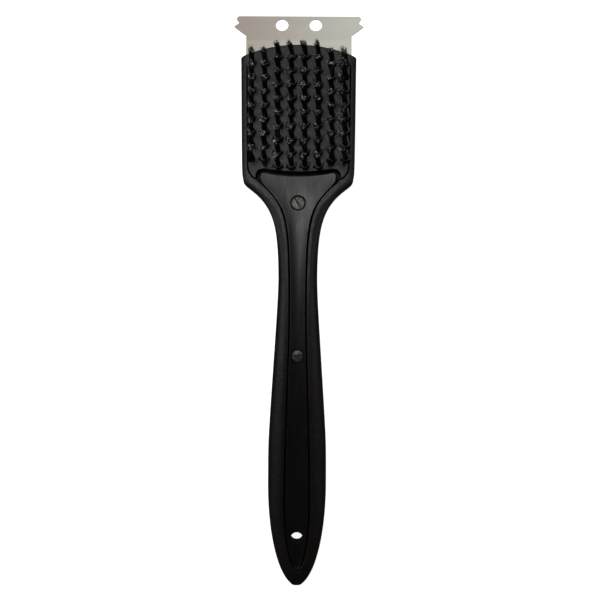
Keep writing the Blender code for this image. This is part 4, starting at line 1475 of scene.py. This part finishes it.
# %% The scraper's finish
def make_rolled_stainless():
    material, tree, shader, place = new_finish("rolled_stainless")
    rolled = noise(tree, place, scale=420.0, detail=4.0, stretch=(0.045, 1.0, 1.0), roughness=0.65)
    mottle = noise(tree, place, scale=95.0, detail=4.0, roughness=0.6)
    marks = noise(tree, place, scale=900.0, detail=2.0)
    across = add_node(tree, "ShaderNodeSeparateXYZ", None, {0: place})
    # Painted shade: the steel's colour is darker and warmer on the left and lighter on the right, as the
    # lamps light the blade.
    painted_side_shade = share(across + (mottle - 0.5) * 0.02, -SCRAPER_NECK_WIDTH / 2, SCRAPER_NECK_WIDTH / 2)
    steel = between(tree, painted_side_shade, (0.52, 0.455, 0.395), (0.70, 0.70, 0.62))
    colour = between(tree, share(marks, 0.60, 0.80) * 0.4, steel, (0.42, 0.39, 0.35))
    connect(
        tree, shader,
        Base_Color=colour,
        Roughness=0.42 + 0.14 * rolled + 0.06 * mottle,
        Normal=bump(tree, rolled + 0.3 * marks, distance=0.00005, strength=0.5),
    )
    connect(tree, shader, Metallic=0.55)
    return material


ROLLED_STAINLESS = make_rolled_stainless()
print("finish:", ROLLED_STAINLESS.name)

# %% The scraper's outline
FOLD_AT = 0.0067
FOLD = math.radians(5.0)
FOLD_RADIUS = 0.0020
HALF_NECK = SCRAPER_NECK_WIDTH / 2
BLADE_LENGTH = 0.0165
EDGE_REACH = 0.0049
CORNER_TOOTH_REACH = 0.0064
CORNER_TOOTH_RISE = 0.0149
NOTCH_REACH = 0.0045
NOTCH_RISE = 0.0119
SIDE_TOOTH_REACH = 0.0078
SIDE_TOOTH_RISE = 0.0093
TOOTH_FOOT_RISE = 0.0032
OUTLINE = [
    (HALF_NECK, TOOTH_FOOT_RISE),
    (HALF_NECK + SIDE_TOOTH_REACH, SIDE_TOOTH_RISE),
    (HALF_NECK + NOTCH_REACH, NOTCH_RISE),
    (HALF_NECK + CORNER_TOOTH_REACH, CORNER_TOOTH_RISE),
    (HALF_NECK + EDGE_REACH, BLADE_LENGTH),
]
BLADE_HOLE = 0.0080
BLADE_HOLE_X = 0.01065
BLADE_HOLE_OUT = 0.0105
BLADE_HOLE_SIDES = 48
BORE_LENGTH = 0.01
STEP_OUT = 0.001
CORNER_STEPS = 4
CORNER_CUT = 0.0005


def folded(x, out, level=0.0):
    """A point of the sheet, where out is its distance past the fold and level its height over
    the sheet's upper side."""
    start = Vector((x, FOLD_AT, -HEAD_THICKNESS + SHEET))
    if out <= 0:
        return start + Vector((0, out, level))
    arc = FOLD_RADIUS * FOLD
    turn = min(out, arc) / FOLD_RADIUS
    bent = Vector((0, math.sin(turn), math.cos(turn) - 1)) * FOLD_RADIUS
    beyond = Vector((0, math.cos(turn), -math.sin(turn))) * max(out - arc, 0.0)
    return start + bent + beyond + Vector((0, math.sin(turn), math.cos(turn))) * level


def softened(outline):
    """The outline with each corner cut back by a short curve."""
    soft = []
    for i, point in enumerate(outline):
        here = Vector(point)
        before = Vector(outline[i - 1]) if i else Vector((HALF_NECK, 0.0))
        after = Vector(outline[i + 1]) if i + 1 < len(outline) else Vector((0.0, outline[-1][1]))
        start = here + (before - here).normalized() * CORNER_CUT
        end = here + (after - here).normalized() * CORNER_CUT
        for k in range(CORNER_STEPS + 1):
            t = k / CORNER_STEPS
            soft.append(start * (1 - t) ** 2 + here * (2 * t * (1 - t)) + end * t**2)
    return soft


def scraper_sheet():
    """An open sheet: rows across the shank and the fold, then one face for the blade."""
    shape = bmesh.new()
    arc = FOLD_RADIUS * FOLD
    outs = [-SCRAPER_SHANK - FOLD_AT, -FOLD_AT, -arc, 0.0, arc / 3, 2 * arc / 3, arc, 2 * arc]
    rows = [[shape.verts.new(folded(side * HALF_NECK, out)) for side in (-1, 1)] for out in outs]
    for low, high in zip(rows, rows[1:]):
        shape.faces.new((low[0], low[1], high[1], high[0]))
    soft = softened(OUTLINE)
    right = [shape.verts.new(folded(x, out)) for x, out in soft]
    left = [shape.verts.new(folded(-x, out)) for x, out in soft]
    shape.faces.new([rows[-1][0], rows[-1][1]] + right + left[::-1])
    mesh = bpy.data.meshes.new("sheet")
    shape.to_mesh(mesh)
    shape.free()
    return mesh


def sheet_bore(x, out, radius, sides):
    """A cutter square to the sheet at a place on it."""
    shape = bmesh.new()
    made = bmesh.ops.create_cone(
        shape, cap_ends=True, segments=sides, radius1=radius, radius2=radius, depth=BORE_LENGTH
    )
    for vert in made["verts"]:
        offset = vert.co.copy()
        vert.co = folded(x + offset.x, out) + (folded(x, out, 1.0) - folded(x, out)) * offset.z
        vert.co += (folded(x, out + STEP_OUT) - folded(x, out)) * (offset.y / STEP_OUT)
    return to_mesh("bore", shape)


print("half the blade's outline:", len(softened(OUTLINE)), "points once its corners are softened")

# %% Thickness, holes and softened edges
SHEET_BEVEL = 0.00012
BEVEL_ANGLE = math.radians(40)


def thickened(mesh):
    helper = helper_with(mesh)
    wall = helper.modifiers.new("wall", "SOLIDIFY")
    wall.thickness = SHEET
    wall.offset = -1.0
    wall.use_even_offset = True
    bores = [sheet_bore(side * BLADE_HOLE_X, BLADE_HOLE_OUT, BLADE_HOLE / 2, BLADE_HOLE_SIDES)
             for side in (-1, 1)]
    bores += [sheet_bore(side * SCRAPER_SCREW_X, -FOLD_AT - SCRAPER_SCREW_AT, SCRAPER_BORE, ROUND_SIDES)
              for side in (-1, 1)]
    holders = cut_by(helper, [(bore, "DIFFERENCE") for bore in bores])
    softer = helper.modifiers.new("softer", "BEVEL")
    softer.width = SHEET_BEVEL
    softer.segments = 2
    softer.limit_method = "ANGLE"
    softer.angle_limit = BEVEL_ANGLE
    return result_of(helper, holders)


sheet = thickened(scraper_sheet())
scraper = finished("scraper", sheet, ROLLED_STAINLESS, "scraper_blade", sharp=30.0)
print("scraper:", len(scraper.data.polygons), "faces")

# %% [markdown]
# ## Checking the fit
# Each piece stands for one node, so its box is compared with that node's box.

# %% Measure each piece against its node
for piece, node in PIECES:
    low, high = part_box(node)
    corners = [vert.co for vert in piece.data.vertices] or [Vector()]
    off = [1000 * (min(c[axis] for c in corners) - low[axis]) for axis in range(3)]
    off += [1000 * (max(c[axis] for c in corners) - high[axis]) for axis in range(3)]
    print(f"{piece.name}: {sum(len(p.vertices) - 2 for p in piece.data.polygons)} triangles, off by",
          [round(d, 2) for d in off], "mm")

# %% [markdown]
# ## Floor, light and camera
# The brush lies on its back on a pale floor that glows a little, so no shadow shows on it. Black
# plastic is seen by what it mirrors, so the floor is hidden from mirrored light: the brush's walls
# then stay dark against it. Four soft lights do the rest. The key light hangs above the head and
# shows the panel and the ridges, one stands far behind the scraper and lights its tilted blade, and
# two at the sides light the rounded flanks of the grip, the left one more than the right one. The
# camera looks straight down from about arm's length.

# %% The floor
FLOOR_REACH = 3.0
FLOOR_DROP = 0.0002


def make_pale_floor():
    material, tree, shader, place = new_finish("pale_floor")
    tone = noise(tree, place, scale=6.0, detail=2.0)
    connect(tree, shader, Base_Color=between(tree, tone, (0.88, 0.88, 0.88), (0.91, 0.91, 0.91)))
    connect(tree, shader, Roughness=0.95, Specular_IOR_Level=0.1)
    connect(tree, shader, Emission_Color=(1.0, 1.0, 1.0, 1.0), Emission_Strength=0.92)
    return material


floor_mesh = bpy.data.meshes.new("floor")
corners = [(FLOOR_REACH * x, FLOOR_REACH * y, 0.0) for x, y in ((-1, -1), (1, -1), (1, 1), (-1, 1))]
floor_mesh.from_pydata(corners, [], [(0, 1, 2, 3)])
floor_mesh.materials.append(make_pale_floor())
floor = bpy.data.objects.new("floor", floor_mesh)
floor.location.z = CAD_BOX[0].z - FLOOR_DROP
floor.visible_glossy = False
bpy.context.scene.collection.objects.link(floor)
print("floor at", round(floor.location.z * 1000, 2), "mm")

# %% The lights
def soft_light(name, place, target, size, power):
    lamp = bpy.data.lights.new(name, "AREA")
    lamp.shape = "RECTANGLE"
    lamp.size, lamp.size_y = size
    lamp.energy = power
    holder = bpy.data.objects.new(name, lamp)
    holder.location = place
    direction = Vector(target) - Vector(place)
    holder.rotation_euler = direction.to_track_quat("-Z", "Y").to_euler()
    bpy.context.scene.collection.objects.link(holder)
    return holder


lights = [
    soft_light("key_light", (-0.12, 0.34, 0.95), target=(0.0, 0.07, 0.0), size=(0.22, 0.15), power=2.85),
    soft_light("scraper_light", (0.16, 1.15, 0.90), target=(0.0, 0.17, 0.0), size=(0.6, 0.3), power=2.3),
    soft_light("left_light", (-1.0, 0.0, 0.62), target=(0.0, 0.0, 0.0), size=(0.5, 0.9), power=2.6),
    soft_light("right_light", (1.0, 0.0, 0.62), target=(0.0, 0.0, 0.0), size=(0.5, 0.9), power=1.3),
]
print("lights:", {light.name: round(light.data.energy, 2) for light in lights})

world = bpy.data.worlds.new("studio")
world.use_nodes = True
world.node_tree.nodes["Background"].inputs["Color"].default_value = (1.0, 1.0, 1.0, 1.0)
world.node_tree.nodes["Background"].inputs["Strength"].default_value = 0.03
bpy.context.scene.world = world
bpy.context.scene.view_settings.view_transform = "Standard"

# %% The camera
CAMERA_HEIGHT = 0.760
CAMERA_X = 0.0014
CAMERA_ROLL = math.radians(0.25)
camera_data = bpy.data.cameras.new("camera")
camera_data.lens = 72.0
camera_data.sensor_width = 36.0
camera = bpy.data.objects.new("camera", camera_data)
camera.location = (CAMERA_X, 0.0, CAMERA_HEIGHT)
camera.rotation_euler = (0.0, 0.0, CAMERA_ROLL)
bpy.context.scene.collection.objects.link(camera)
bpy.context.scene.camera = camera
print("camera", CAMERA_HEIGHT, "m above the floor's plane, lens", camera_data.lens, "mm")
